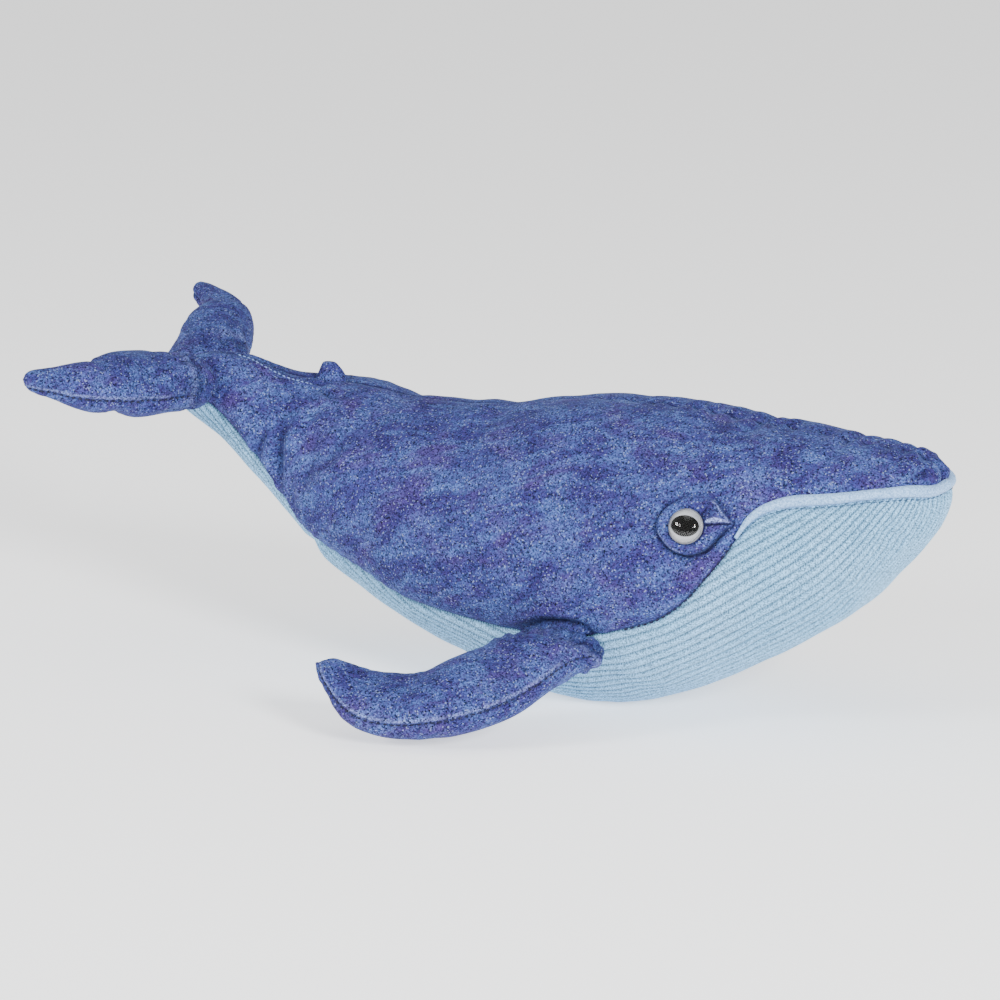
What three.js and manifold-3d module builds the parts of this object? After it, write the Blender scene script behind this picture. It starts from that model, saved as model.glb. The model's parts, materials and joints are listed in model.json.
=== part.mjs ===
// A stuffed toy whale, sewn from short-pile plush and ribbed fabric.
// Millimetres, nose towards +X, the whale's left towards +Y, up +Z. The origin is on the flat of the belly that
// the toy rests on, on the centreline.
//
// The body and each fin are lofts through three rails: a first edge, a second edge and the crest between them.
// The fabric panels are shells of such a loft, and the stuffing is the same loft, inset to fit inside them.

import * as THREE from 'three';
import { mergeVertices } from 'three/addons/utils/BufferGeometryUtils.js';
import Module from 'manifold-3d';

const wasm = await Module();
wasm.setup();

// Stuffed body.
const BODY_LENGTH = 307;
const BODY_HEIGHT = 110.5;
const BODY_WIDTH = 106;
const TAIL_REACH = 186; // from the resting place back to the end of the tail
const REST_FLAT_DEPTH = 0.5; // how far the belly is pressed flat where it rests

// Fabrics, and the clearance between sewn pieces.
const PLUSH_THICKNESS = 1.6;
const RIBBED_THICKNESS = 1.6;
const PIECE_GAP = 0.3;

// The tail lies a little to the whale's right, and rolls a little that way.
const TAIL_TURN = 11; // degrees
const TAIL_ROLL = 2; // degrees
const TAIL_TURN_START = 112; // how far behind the resting place the turn starts
const TAIL_TURN_RUN = 44;

// Rolled piping along the mouth.
const LIP_RADIUS = 1.8;
const LIP_BURIED_SHARE = 0.15; // how much of its radius lies below the skin
const LIP_SIDES = 6;
const LIP_STATIONS = 12; // from a corner of the mouth to the nose
const LIP_STEPS = 48;

// Flippers, sewn into the side seams.
const FLIPPER_LENGTH = 58.5; // from the hinge line straight out to the tip
const FLIPPER_CHORD = 36;
const FLIPPER_THICKNESS = 20;
const FLIPPER_ROOT_CHORD = 36;
const FLIPPER_ROOT_THICKNESS = 14;
const FLIPPER_ALONG_SHARE = 0.545;
const FLIPPER_TURN = 114.5; // degrees from the back seam down to the root
const FLIPPER_DROOP = 26; // degrees below level
const FLIPPER_DROP = -3; // how much lower the leading edge runs than the trailing edge

// Tail flukes.
const FLUKE_LENGTH = 60.5;
const FLUKE_CHORD = 38;
const FLUKE_THICKNESS = 21;
const FLUKE_ROOT_CHORD = 31;
const FLUKE_ROOT_THICKNESS = 21;
const FLUKE_ALONG_SHARE = 0.103;
const FLUKE_TURN = 77; // degrees from the back seam down to the root
const FLUKE_SWEEP = 36.5; // degrees from the toy's length to the line that the blade is cut square to
const FLUKE_RIGHT_ROOT_SWEEP = 18; // degrees from the toy's length to the line of the root
const FLUKE_LEFT_ROOT_SWEEP = 36.5;
const FLUKE_RISE = 12.2; // degrees above level
const FLUKE_ROLL = 7.3; // degrees that the pair rolls towards the whale's right
const FLUKE_DROP = 2; // how much lower the leading edge runs than the trailing edge

// Dorsal fin, a nub in the back seam. Its stations are shares of its height, length and half-thickness: front edge
// up and ahead, rear edge up and ahead, and half-thickness.
const DORSAL_HEIGHT = 5.8;
const DORSAL_LENGTH = 12.5;
const DORSAL_THICKNESS = 8.5;
const DORSAL_ALONG_SHARE = 0.277;
const DORSAL_STATION_SHARES = [
  [-0.8, 0, -0.8, 0, 0],
  [-0.6, 0.42, -0.6, -0.42, 0.9],
  [-0.1, 0.5, -0.1, -0.5, 1],
  [0.3, 0.4, 0.3, -0.42, 0.86],
  [0.7, 0.26, 0.72, -0.32, 0.66],
  [0.93, 0.16, 0.95, -0.24, 0.42],
  [1, -0.04, 1, -0.04, 0],
];

// Safety eyes.
const EYE_DIAMETER = 12;
const EYE_DISH_HEIGHT = 1;
const EYE_RIM = 0.3; // how far the dish stands out past the lens
const EYE_DOME_HEIGHT = 3.4;
const EYE_ALONG_SHARE = 0.662;
const EYE_TURN = 68.5; // degrees from the back seam
const PUPIL_LENGTH = 10.2;
const PUPIL_HEIGHT = 7.4;
const PUPIL_THICKNESS = 0.5;
const SHANK_DIAMETER = 4;
const SHANK_LENGTH = 12;
const SHANK_BARBS = 5;
const SHANK_BARB_DEPTH = 0.35;
const WASHER_DIAMETER = 13;
const WASHER_THICKNESS = 0.9;
const WASHER_TEETH = 8;
const WASHER_TOOTH_DEPTH = 1.1;
const WASHER_SEAT_DIPS = 3; // how far below the fabric it sits, counted in the dip of the skin over its radius

// Teardrop patch behind each eye.
const PATCH_RADIUS = 10.4;
const PATCH_POINT = 16; // from the eye's centre to the point by the mouth
const PATCH_THICKNESS = 0.9;
const PATCH_TIP_TURN = 6; // degrees that the point lies above the level through the eye
const PATCH_POINT_POWER = 7; // how sharply the teardrop narrows to its point

// How finely the curved surfaces are divided.
const BODY_ROWS = 32;
const SIDE_COLUMNS = 11;
const BELLY_COLUMNS = 16;
const BODY_STUFFING_ROWS = 26;
const BODY_STUFFING_COLUMNS = 20;
const FIN_ROWS = 12;
const FIN_COLUMNS = 6;
const ROUND_SIDES = 16;
const PATCH_SPOKES = 24;
const PATCH_RINGS = 2;
const DOME_STEPS = 5;
const NEWTON_STEPS = 8;
const ROW_EASE_SHARE = 0.4; // how much closer together the rows lie at both ends of a form
const SLOPE_STEP_SHARE = 0.004; // the step over which a surface's slope is taken

// Body stations from the tail to the nose, as shares of the body's length, height and half-width:
// back seam along and up, belly line along and up, widest line along, out and up. The belly's lowest station lies
// a little under the resting level, because the facets on both sides of it lie above the curve that they span.
const BODY_STATION_SHARES = [
  [0, 0.9, 0, 0.9, 0, 0, 0.9],
  [0.022, 1.01, 0.006, 0.865, 0.013, 0.12, 0.92],
  [0.093, 1.028, 0.066, 0.735, 0.077, 0.29, 0.885],
  [0.154, 0.984, 0.124, 0.575, 0.14, 0.42, 0.79],
  [0.231, 0.961, 0.198, 0.388, 0.216, 0.6, 0.685],
  [0.333, 0.938, 0.305, 0.222, 0.321, 0.81, 0.58],
  [0.449, 0.95, 0.435, 0.08, 0.442, 0.94, 0.512],
  [0.58, 1.006, 0.59, -0.006, 0.585, 1, 0.495],
  [0.688, 0.998, 0.704, 0.088, 0.698, 0.99, 0.515],
  [0.776, 0.972, 0.8, 0.228, 0.79, 0.9, 0.565],
  [0.865, 0.955, 0.896, 0.4, 0.884, 0.73, 0.635],
  [0.936, 0.936, 0.962, 0.602, 0.953, 0.51, 0.725],
  [0.981, 0.902, 0.995, 0.742, 0.989, 0.27, 0.8],
  [1, 0.83, 1, 0.83, 1, 0, 0.83],
];

// The side seam from the tail to the nose: share of the stations, and share of the half turn from back to belly.
const SEAM_SHARES = [
  [0, 0.5],
  [0.077, 0.5],
  [0.13, 0.535],
  [0.16, 0.57],
  [0.2, 0.625],
  [0.24, 0.675],
  [0.275, 0.705],
  [0.31, 0.714],
  [0.36, 0.7],
  [0.4, 0.683],
  [0.45, 0.66],
  [0.5, 0.645],
  [0.55, 0.63],
  [0.6, 0.614],
  [0.635, 0.594],
  [0.66, 0.558],
  [0.68, 0.506],
  [0.696, 0.462],
  [0.71, 0.405],
  [0.72, 0.365],
  [0.735, 0.337],
  [0.76, 0.324],
  [0.8, 0.33],
  [0.85, 0.341],
  [0.9, 0.374],
  [0.95, 0.445],
  [1, 0.5],
];
const MOUTH_CORNER_SHARE = 0.708;
const MOUTH_EASE_SHARE = 0.012;
const TAIL_AXIS_SHARE = 0.85; // how high the tail's own axis runs
const PANEL_START_SHARE = 0.02;
const PANEL_END_SHARE = 0.986;

// Fin stations past the round root, as shares of the fin's length, half-chord and half-thickness:
// leading edge out and forward, trailing edge out and forward, half-thickness, and how far the middle is lifted.
const FLIPPER_STATION_SHARES = [
  [0.154, 0.7, 0.022, -1.2, 0.96, 0],
  [0.471, 0.22, 0.143, -1.58, 1, 0],
  [0.711, -0.46, 0.257, -2, 1, 0],
  [0.865, -1.34, 0.372, -2.4, 0.96, 0],
  [0.941, -2.1, 0.438, -2.78, 0.88, 0.1],
  [0.958, -2.7, 0.487, -3.1, 0.76, 0.35],
  [0.919, -3.22, 0.525, -3.42, 0.62, 0.8],
  [0.799, -3.75, 0.569, -3.72, 0.44, 1.25],
  [0.668, -4.05, 0.668, -4.05, 0, 1.6],
];
const FLUKE_STATION_SHARES = [
  [0.29, 1, 0.27, -0.66, 1.12, 0.04],
  [0.44, 1.03, 0.41, -0.5, 1.03, 0.05],
  [0.58, 0.97, 0.54, -0.26, 0.9, 0],
  [0.71, 0.82, 0.67, -0.1, 0.75, 0],
  [0.82, 0.58, 0.79, -0.08, 0.56, 0],
  [0.92, 0.28, 0.9, -0.1, 0.36, 0],
  [0.975, 0, 0.975, 0, 0, 0],
];
const ROOT_STEPS = 3;
const FIN_CREST_SHARE = 0.48; // how far from the leading edge a fin is thickest
const FIN_PANEL_START_SHARE = 0.03;
const FIN_PANEL_END_SHARE = 0.95;

// Materials.
const fabric = (colour) => new THREE.MeshStandardMaterial({ color: colour, roughness: 0.95, metalness: 0 });
const plush = () => fabric('#52629a');
const ribbed = () => fabric('#acc3d9');
const fibre = () => fabric('#eeeeea');
const piping = () => fabric('#a6c4e2');
const pearl = () => new THREE.MeshStandardMaterial({ color: '#cfd2d6', roughness: 0.3, metalness: 0 });
const black = () => new THREE.MeshStandardMaterial({ color: '#0b0b0d', roughness: 0.25, metalness: 0 });
const white = () => new THREE.MeshStandardMaterial({ color: '#e8e8e6', roughness: 0.5, metalness: 0 });
const clear = () => {
  const look = { color: '#f4f7f9', roughness: 0.05, metalness: 0, transparent: true, opacity: 0.4 };
  return new THREE.MeshStandardMaterial(look);
};

const radians = THREE.MathUtils.degToRad;
const QUARTER_TURN = Math.PI / 2;
const HALF_TURN = Math.PI;
const FULL_TURN = 2 * Math.PI;

// How far a flat facet dips below the curve that it spans, where columns divide half of a round section.
const facetDip = (radius, columns) => radius * (1 - Math.cos(HALF_TURN / (2 * columns)));

const model = new THREE.Group();

function add(name, geometry, material, parent = model) {
  geometry.computeVertexNormals();
  const mesh = new THREE.Mesh(geometry, material);
  mesh.name = name;
  parent.add(mesh);
  return mesh;
}

// Closed surfaces from points and triangles. The faces are turned to point out.
function closedGeometry(points, triangles) {
  let volume = 0;
  for (const [a, b, c] of triangles) {
    volume += points[a].dot(new THREE.Vector3().crossVectors(points[b], points[c]));
  }
  const facing = volume < 0 ? triangles.map(([a, b, c]) => [a, c, b]) : triangles;
  const geometry = new THREE.BufferGeometry();
  geometry.setAttribute('position', new THREE.Float32BufferAttribute(points.flatMap((p) => p.toArray()), 3));
  geometry.setIndex(facing.flat());
  return geometry;
}

// A shell between an outer and an inner grid of points, closed by a rim along each side. A grid whose columns
// close on themselves has a rim at its first and last row only.
function shellGeometry(outer, inner, closed = false) {
  const rows = outer.length;
  const columns = outer[0].length;
  const points = [...outer.flat(), ...inner.flat()];
  const triangles = [];
  const at = (layer, i, j) => layer * rows * columns + i * columns + (j % columns);
  const quad = (a, b, c, d) => triangles.push([a, b, c], [a, c, d]);
  const spans = closed ? columns : columns - 1;
  for (let i = 0; i < rows - 1; i += 1) {
    for (let j = 0; j < spans; j += 1) {
      quad(at(0, i, j), at(0, i, j + 1), at(0, i + 1, j + 1), at(0, i + 1, j));
      quad(at(1, i, j), at(1, i + 1, j), at(1, i + 1, j + 1), at(1, i, j + 1));
    }
  }
  for (let j = 0; j < spans; j += 1) {
    quad(at(0, 0, j), at(1, 0, j), at(1, 0, j + 1), at(0, 0, j + 1));
    quad(at(0, rows - 1, j), at(0, rows - 1, j + 1), at(1, rows - 1, j + 1), at(1, rows - 1, j));
  }
  for (let i = 0; i < rows - 1 && !closed; i += 1) {
    quad(at(0, i, 0), at(0, i + 1, 0), at(1, i + 1, 0), at(1, i, 0));
    quad(at(0, i, columns - 1), at(1, i, columns - 1), at(1, i + 1, columns - 1), at(0, i + 1, columns - 1));
  }
  return closedGeometry(points, triangles);
}

// A solid through closed rings of points, ending in a pole point at each end.
function ringedGeometry(startPole, rings, endPole) {
  const columns = rings[0].length;
  const points = [startPole, ...rings.flat(), endPole];
  const last = points.length - 1;
  const triangles = [];
  const at = (i, j) => 1 + i * columns + (j % columns);
  for (let j = 0; j < columns; j += 1) {
    triangles.push([0, at(0, j + 1), at(0, j)]);
    triangles.push([last, at(rings.length - 1, j), at(rings.length - 1, j + 1)]);
    for (let i = 0; i < rings.length - 1; i += 1) {
      triangles.push([at(i, j), at(i, j + 1), at(i + 1, j + 1)], [at(i, j), at(i + 1, j + 1), at(i + 1, j)]);
    }
  }
  return closedGeometry(points, triangles);
}

// Solids for cutting.
function toSolid(geometry) {
  const bare = geometry.clone();
  for (const name of Object.keys(bare.attributes)) {
    if (name !== 'position') {
      bare.deleteAttribute(name);
    }
  }
  const merged = mergeVertices(bare);
  const index = merged.index.array;
  const kept = [];
  for (let i = 0; i < index.length; i += 3) {
    const [a, b, c] = [index[i], index[i + 1], index[i + 2]];
    if (a !== b && b !== c && a !== c) {
      kept.push(a, b, c);
    }
  }
  const vertProperties = new Float32Array(merged.attributes.position.array);
  return new wasm.Manifold(new wasm.Mesh({ numProp: 3, vertProperties, triVerts: new Uint32Array(kept) }));
}

function fromSolid(solid) {
  const mesh = solid.getMesh();
  const geometry = new THREE.BufferGeometry();
  geometry.setAttribute('position', new THREE.BufferAttribute(new Float32Array(mesh.vertProperties), 3));
  geometry.setIndex(new THREE.BufferAttribute(new Uint32Array(mesh.triVerts), 1));
  return geometry;
}

// A smooth function through hand-chosen pairs of shares.
function smoothShare(pairs) {
  const curve = new THREE.SplineCurve(pairs.map(([x, y]) => new THREE.Vector2(x, y)));
  return (wanted) => {
    let low = 0;
    let high = 1;
    while (high - low > Number.EPSILON * pairs.length) {
      const middle = (low + high) / 2;
      if (curve.getPoint(middle).x < wanted) {
        low = middle;
      } else {
        high = middle;
      }
    }
    return curve.getPoint(high).y;
  };
}

const rail = (points) => new THREE.CatmullRomCurve3(points, false, 'centripetal');

// The point of a form at a share of its stations and a turn from the first edge, over the crest to the second.
function formPoint(form, share, turn) {
  const at = Math.min(Math.max(share, 0), 1);
  const first = form.first.getPoint(at);
  const second = form.second.getPoint(at);
  const crest = form.crest.getPoint(at);
  const middle = first.clone().lerp(second, FIN_CREST_SHARE).dot(form.out);
  const reach = crest.dot(form.out) - middle;
  const centre = crest.addScaledVector(form.out, -reach);
  const towards = Math.cos(turn) > 0 ? first : second;
  const point = centre.clone().addScaledVector(towards.sub(centre), Math.abs(Math.cos(turn)));
  point.addScaledVector(form.out, reach * Math.sin(turn));
  return form.pose ? form.pose(point) : point;
}

function formNormal(form, share, turn) {
  const inside = Math.min(Math.max(share, SLOPE_STEP_SHARE), 1 - SLOPE_STEP_SHARE);
  const step = SLOPE_STEP_SHARE * FULL_TURN;
  const behind = formPoint(form, inside - SLOPE_STEP_SHARE, turn);
  const along = formPoint(form, inside + SLOPE_STEP_SHARE, turn).sub(behind);
  const around = formPoint(form, inside, turn + step).sub(formPoint(form, inside, turn - step));
  const normal = along.cross(around).normalize();
  const outward = formPoint(form, inside, turn).sub(formPoint(form, inside, turn + HALF_TURN));
  return normal.dot(outward) < 0 ? normal.negate() : normal;
}

function offsetPoint(form, share, turn, offset) {
  return formPoint(form, share, turn).addScaledVector(formNormal(form, share, turn), offset);
}

// The turn that covers a distance along the surface.
function turnOver(form, share, turn, distance) {
  const step = SLOPE_STEP_SHARE * FULL_TURN;
  const run = formPoint(form, share, turn + step).distanceTo(formPoint(form, share, turn - step));
  return (distance * 2 * step) / run;
}

// Rows lie closer together towards both ends, where a form rounds off.
function rowShare(i, rows, start = 0, end = 1) {
  const even = i / rows;
  const eased = even - (ROW_EASE_SHARE * Math.sin(FULL_TURN * even)) / FULL_TURN;
  return start + (end - start) * eased;
}

function panelGeometry(form, rows, columns, start, end, edges, thickness) {
  const outer = [];
  const inner = [];
  for (let i = 0; i <= rows; i += 1) {
    const share = rowShare(i, rows, start, end);
    const [from, to] = edges(share);
    const turns = Array.from({ length: columns + 1 }, (_, j) => from + ((to - from) * j) / columns);
    outer.push(turns.map((turn) => formPoint(form, share, turn)));
    inner.push(turns.map((turn) => offsetPoint(form, share, turn, -thickness)));
  }
  return shellGeometry(outer, inner);
}

function pole(form, share, offset) {
  const tip = formPoint(form, share, 0);
  const inward = formPoint(form, share + (share > 0 ? -1 : 1) * SLOPE_STEP_SHARE, 0)
    .add(formPoint(form, share + (share > 0 ? -1 : 1) * SLOPE_STEP_SHARE, HALF_TURN))
    .divideScalar(2)
    .sub(tip)
    .normalize();
  return tip.addScaledVector(inward, -offset);
}

function stuffedGeometry(form, rows, columns, offset) {
  const rings = [];
  for (let i = 1; i < rows; i += 1) {
    const share = rowShare(i, rows);
    rings.push(
      Array.from({ length: columns }, (_, j) => offsetPoint(form, share, (FULL_TURN * j) / columns, offset)),
    );
  }
  return ringedGeometry(pole(form, 0, offset), rings, pole(form, 1, offset));
}

// The body.
const tailPivot = new THREE.Vector3(-TAIL_TURN_START, 0, BODY_HEIGHT * TAIL_AXIS_SHARE);
function tailTurn(amount) {
  const angles = new THREE.Euler(radians(TAIL_ROLL) * amount, 0, radians(TAIL_TURN) * amount, 'ZXY');
  return new THREE.Quaternion().setFromEuler(angles);
}

function turnTail(point) {
  const behind = THREE.MathUtils.clamp((-TAIL_TURN_START - point.x) / TAIL_TURN_RUN, 0, 1);
  return point.sub(tailPivot).applyQuaternion(tailTurn(THREE.MathUtils.smoothstep(behind, 0, 1))).add(tailPivot);
}

const bodyAlong = (share) => share * BODY_LENGTH - TAIL_REACH;
const bodyUp = (share) => share * BODY_HEIGHT - REST_FLAT_DEPTH;
const bodyForm = {
  out: new THREE.Vector3(0, -1, 0),
  first: rail(BODY_STATION_SHARES.map(([along, up]) => new THREE.Vector3(bodyAlong(along), 0, bodyUp(up)))),
  second: rail(BODY_STATION_SHARES.map(([, , along, up]) => new THREE.Vector3(bodyAlong(along), 0, bodyUp(up)))),
  crest: rail(
    BODY_STATION_SHARES.map(
      ([, , , , along, out, up]) => new THREE.Vector3(bodyAlong(along), (-out * BODY_WIDTH) / 2, bodyUp(up)),
    ),
  ),
  pose: turnTail,
};

const seamShare = smoothShare(SEAM_SHARES);
const seamTurn = (share) => seamShare(share) * HALF_TURN;
const lipDepth = LIP_RADIUS * LIP_BURIED_SHARE;
function seamClearance(share) {
  const mouth = THREE.MathUtils.smoothstep(share, MOUTH_CORNER_SHARE - 2 * MOUTH_EASE_SHARE, MOUTH_CORNER_SHARE);
  return PIECE_GAP / 2 + mouth * (LIP_RADIUS + PIECE_GAP / 2);
}

function sideEdges(share) {
  const seam = seamTurn(share);
  const top = turnOver(bodyForm, share, 0, PIECE_GAP / 2);
  return [top, seam - turnOver(bodyForm, share, seam, seamClearance(share))];
}

function bellyEdges(share) {
  const seam = seamTurn(share) + turnOver(bodyForm, share, seamTurn(share), seamClearance(share));
  return [seam, FULL_TURN - seam];
}

// The piping follows the mouth from the right corner round the nose to the left corner.
function lipGeometry(radius) {
  const shares = [];
  for (let i = 0; i <= LIP_STATIONS; i += 1) {
    shares.push(rowShare(LIP_STATIONS + i, 2 * LIP_STATIONS, 2 * MOUTH_CORNER_SHARE - 1, 1));
  }
  const right = shares.map((share) => offsetPoint(bodyForm, share, seamTurn(share), -lipDepth));
  const left = shares.map((share) => offsetPoint(bodyForm, share, FULL_TURN - seamTurn(share), -lipDepth));
  const nose = pole(bodyForm, 1, -lipDepth);
  const path = rail([...right.slice(0, -1), nose, ...left.slice(0, -1).reverse()]);
  const section = new THREE.Shape();
  for (let i = 0; i < LIP_SIDES; i += 1) {
    const turn = (FULL_TURN * i) / LIP_SIDES;
    const corner = [radius * Math.cos(turn), radius * Math.sin(turn)];
    if (i === 0) {
      section.moveTo(...corner);
    } else {
      section.lineTo(...corner);
    }
  }
  section.closePath();
  return new THREE.ExtrudeGeometry(section, { steps: LIP_STEPS, extrudePath: path });
}

// Fins, built round their hinge line: outward +X, forward +Y, up +Z in the fin's own frame.
// The blade past the root may be bent back, by a number of degrees.
function finForm(sizes, stationShares) {
  const { length, chord, thickness, rootChord, rootThickness, drop, bend } = sizes;
  const rootRadius = rootThickness / 2;
  const upright = new THREE.Vector3(0, 0, 1);
  const first = [];
  const second = [];
  const crest = [];
  const station = (lead, trail, half) => {
    first.push(lead);
    second.push(trail);
    const middle = lead.clone().lerp(trail, FIN_CREST_SHARE);
    crest.push(middle.add(new THREE.Vector3(0, 0, half)));
  };
  for (let i = 0; i <= ROOT_STEPS; i += 1) {
    const turn = (QUARTER_TURN * i) / ROOT_STEPS;
    const out = -rootRadius * Math.cos(turn);
    const half = (rootChord / 2) * Math.sqrt(Math.sin(turn));
    station(new THREE.Vector3(out, half, 0), new THREE.Vector3(out, -half, 0), rootRadius * Math.sin(turn));
  }
  for (const [leadOut, leadAhead, trailOut, trailAhead, half, lift] of stationShares) {
    const level = (lift * thickness) / 2;
    const lead = new THREE.Vector3(leadOut * length, (leadAhead * chord) / 2, level - drop * half);
    const trail = new THREE.Vector3(trailOut * length, (trailAhead * chord) / 2, level);
    for (const point of [lead, trail]) {
      point.applyAxisAngle(upright, -radians(bend));
    }
    station(lead, trail, (half * thickness) / 2);
  }
  return { out: upright, first: rail(first), second: rail(second), crest: rail(crest) };
}

function mirrored(geometry) {
  const flipped = geometry.clone();
  flipped.scale(1, -1, 1);
  const index = flipped.index.array;
  for (let i = 0; i < index.length; i += 3) {
    [index[i + 1], index[i + 2]] = [index[i + 2], index[i + 1]];
  }
  return flipped;
}

function addFin(name, form, thickness, parent, side) {
  const place = (geometry) => (side < 0 ? geometry : mirrored(geometry));
  const edges = (from) => (share) => {
    const first = turnOver(form, share, 0, PIECE_GAP);
    const second = turnOver(form, share, HALF_TURN, PIECE_GAP);
    return from === 0 ? [first, HALF_TURN - second] : [HALF_TURN + second, FULL_TURN - first];
  };
  for (const [half, from] of [
    ['upper', 0],
    ['lower', HALF_TURN],
  ]) {
    const panel = panelGeometry(
      form,
      FIN_ROWS,
      FIN_COLUMNS,
      FIN_PANEL_START_SHARE,
      FIN_PANEL_END_SHARE,
      edges(from),
      PLUSH_THICKNESS,
    );
    add(`${name}_${half}_panel`, place(panel), plush(), parent);
  }
  const inset = -PLUSH_THICKNESS - 2 * PIECE_GAP - facetDip(thickness / 2, FIN_COLUMNS);
  const stuffing = stuffedGeometry(form, FIN_ROWS, 2 * FIN_COLUMNS, inset);
  add(`${name}_stuffing`, place(stuffing), fibre(), parent);
}

// A fin's group stands on its hinge line, one root radius and a gap off the body's skin.
function finGroup(name, side, alongShare, turn, rootRadius, outward, forward) {
  const skin = formPoint(bodyForm, alongShare, turn);
  const hinge = skin.addScaledVector(formNormal(bodyForm, alongShare, turn), rootRadius + PIECE_GAP);
  const up = new THREE.Vector3().crossVectors(outward, forward);
  const group = new THREE.Group();
  group.name = name;
  if (side < 0) {
    group.quaternion.setFromRotationMatrix(new THREE.Matrix4().makeBasis(outward, forward, up));
  } else {
    const basis = new THREE.Matrix4().makeBasis(outward, forward.negate(), up.negate());
    group.quaternion.setFromRotationMatrix(basis);
  }
  group.position.copy(hinge);
  model.add(group);
  return group;
}

function addFlippers() {
  const form = finForm(
    {
      length: FLIPPER_LENGTH,
      chord: FLIPPER_CHORD,
      thickness: FLIPPER_THICKNESS,
      rootChord: FLIPPER_ROOT_CHORD,
      rootThickness: FLIPPER_ROOT_THICKNESS,
      drop: FLIPPER_DROP,
      bend: 0,
    },
    FLIPPER_STATION_SHARES,
  );
  for (const [word, side] of [
    ['right', -1],
    ['left', 1],
  ]) {
    const turn = side < 0 ? radians(FLIPPER_TURN) : FULL_TURN - radians(FLIPPER_TURN);
    const droop = radians(FLIPPER_DROOP);
    const outward = new THREE.Vector3(0, side * Math.cos(droop), -Math.sin(droop));
    const forward = new THREE.Vector3(1, 0, 0);
    const name = `flipper_${word}`;
    const rootRadius = FLIPPER_ROOT_THICKNESS / 2;
    const group = finGroup(name, side, FLIPPER_ALONG_SHARE, turn, rootRadius, outward, forward);
    addFin(name, form, FLIPPER_THICKNESS, group, side);
  }
}

function addFlukes() {
  for (const [word, side, rootSweep] of [
    ['right', -1, FLUKE_RIGHT_ROOT_SWEEP],
    ['left', 1, FLUKE_LEFT_ROOT_SWEEP],
  ]) {
    const form = finForm(
      {
        length: FLUKE_LENGTH,
        chord: FLUKE_CHORD,
        thickness: FLUKE_THICKNESS,
        rootChord: FLUKE_ROOT_CHORD,
        rootThickness: FLUKE_ROOT_THICKNESS,
        drop: FLUKE_DROP,
        bend: FLUKE_SWEEP - rootSweep,
      },
      FLUKE_STATION_SHARES,
    );
    const turn = side < 0 ? radians(FLUKE_TURN) : FULL_TURN - radians(FLUKE_TURN);
    const sweep = radians(rootSweep);
    const rise = radians(FLUKE_RISE);
    const upright = new THREE.Vector3(0, 0, 1);
    const level = new THREE.Vector3(-Math.sin(sweep), side * Math.cos(sweep), 0);
    const outward = level.multiplyScalar(Math.cos(rise)).addScaledVector(upright, Math.sin(rise));
    const forward = new THREE.Vector3(Math.cos(sweep), side * Math.sin(sweep), 0);
    for (const direction of [outward, forward]) {
      direction.applyAxisAngle(new THREE.Vector3(1, 0, 0), radians(FLUKE_ROLL));
    }
    const name = `fluke_${word}`;
    const group = finGroup(name, side, FLUKE_ALONG_SHARE, turn, FLUKE_ROOT_THICKNESS / 2, outward, forward);
    addFin(name, form, FLUKE_THICKNESS, group, side);
  }
}

// The dorsal fin grows out of the back seam and is cut to the back's own curve.
function dorsalGeometry() {
  const seat = formPoint(bodyForm, DORSAL_ALONG_SHARE, 0);
  const edge = (up, ahead) => new THREE.Vector3(ahead * DORSAL_LENGTH, 0, up * DORSAL_HEIGHT).add(seat);
  const form = {
    out: new THREE.Vector3(0, -1, 0),
    first: rail(DORSAL_STATION_SHARES.map(([up, ahead]) => edge(up, ahead))),
    second: rail(DORSAL_STATION_SHARES.map(([, , up, ahead]) => edge(up, ahead))),
    crest: rail(
      DORSAL_STATION_SHARES.map(([upA, aheadA, upB, aheadB, half]) =>
        edge(upA, aheadA)
          .lerp(edge(upB, aheadB), FIN_CREST_SHARE)
          .addScaledVector(new THREE.Vector3(0, -1, 0), (half * DORSAL_THICKNESS) / 2),
      ),
    ),
  };
  const whole = toSolid(stuffedGeometry(form, FIN_ROWS, 2 * FIN_COLUMNS, 0));
  return fromSolid(whole.subtract(bodySolid(PIECE_GAP)));
}

function bodySolid(offset) {
  return toSolid(stuffedGeometry(bodyForm, BODY_ROWS, 4 * SIDE_COLUMNS, offset));
}

// Eyes. Each eye's group stands on the skin, with +Z out along the shank and +X towards the mouth.
function eyeFrame(side) {
  const turn = side < 0 ? radians(EYE_TURN) : FULL_TURN - radians(EYE_TURN);
  const skin = formPoint(bodyForm, EYE_ALONG_SHARE, turn);
  const out = formNormal(bodyForm, EYE_ALONG_SHARE, turn);
  const ahead = new THREE.Vector3(1, 0, 0).addScaledVector(out, -out.x).normalize();
  const across = new THREE.Vector3().crossVectors(out, ahead);
  return { turn, skin, out, ahead, across };
}

const patchTop = PIECE_GAP + PATCH_THICKNESS;
const dishFoot = patchTop + PIECE_GAP;
const dishTop = dishFoot + EYE_DISH_HEIGHT;
const lensFoot = dishTop + PIECE_GAP;
const pupilTop = lensFoot + PUPIL_THICKNESS;
const skinDip = WASHER_DIAMETER ** 2 / (4 * BODY_WIDTH); // how far the skin curves away over the washer's radius
const washerTop = -PLUSH_THICKNESS - PIECE_GAP - WASHER_SEAT_DIPS * skinDip;
const washerFoot = washerTop - WASHER_THICKNESS;

function latheGeometry(profile) {
  const geometry = new THREE.LatheGeometry(profile.map(([r, z]) => new THREE.Vector2(r, z)), ROUND_SIDES);
  return geometry.rotateX(QUARTER_TURN);
}

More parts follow.
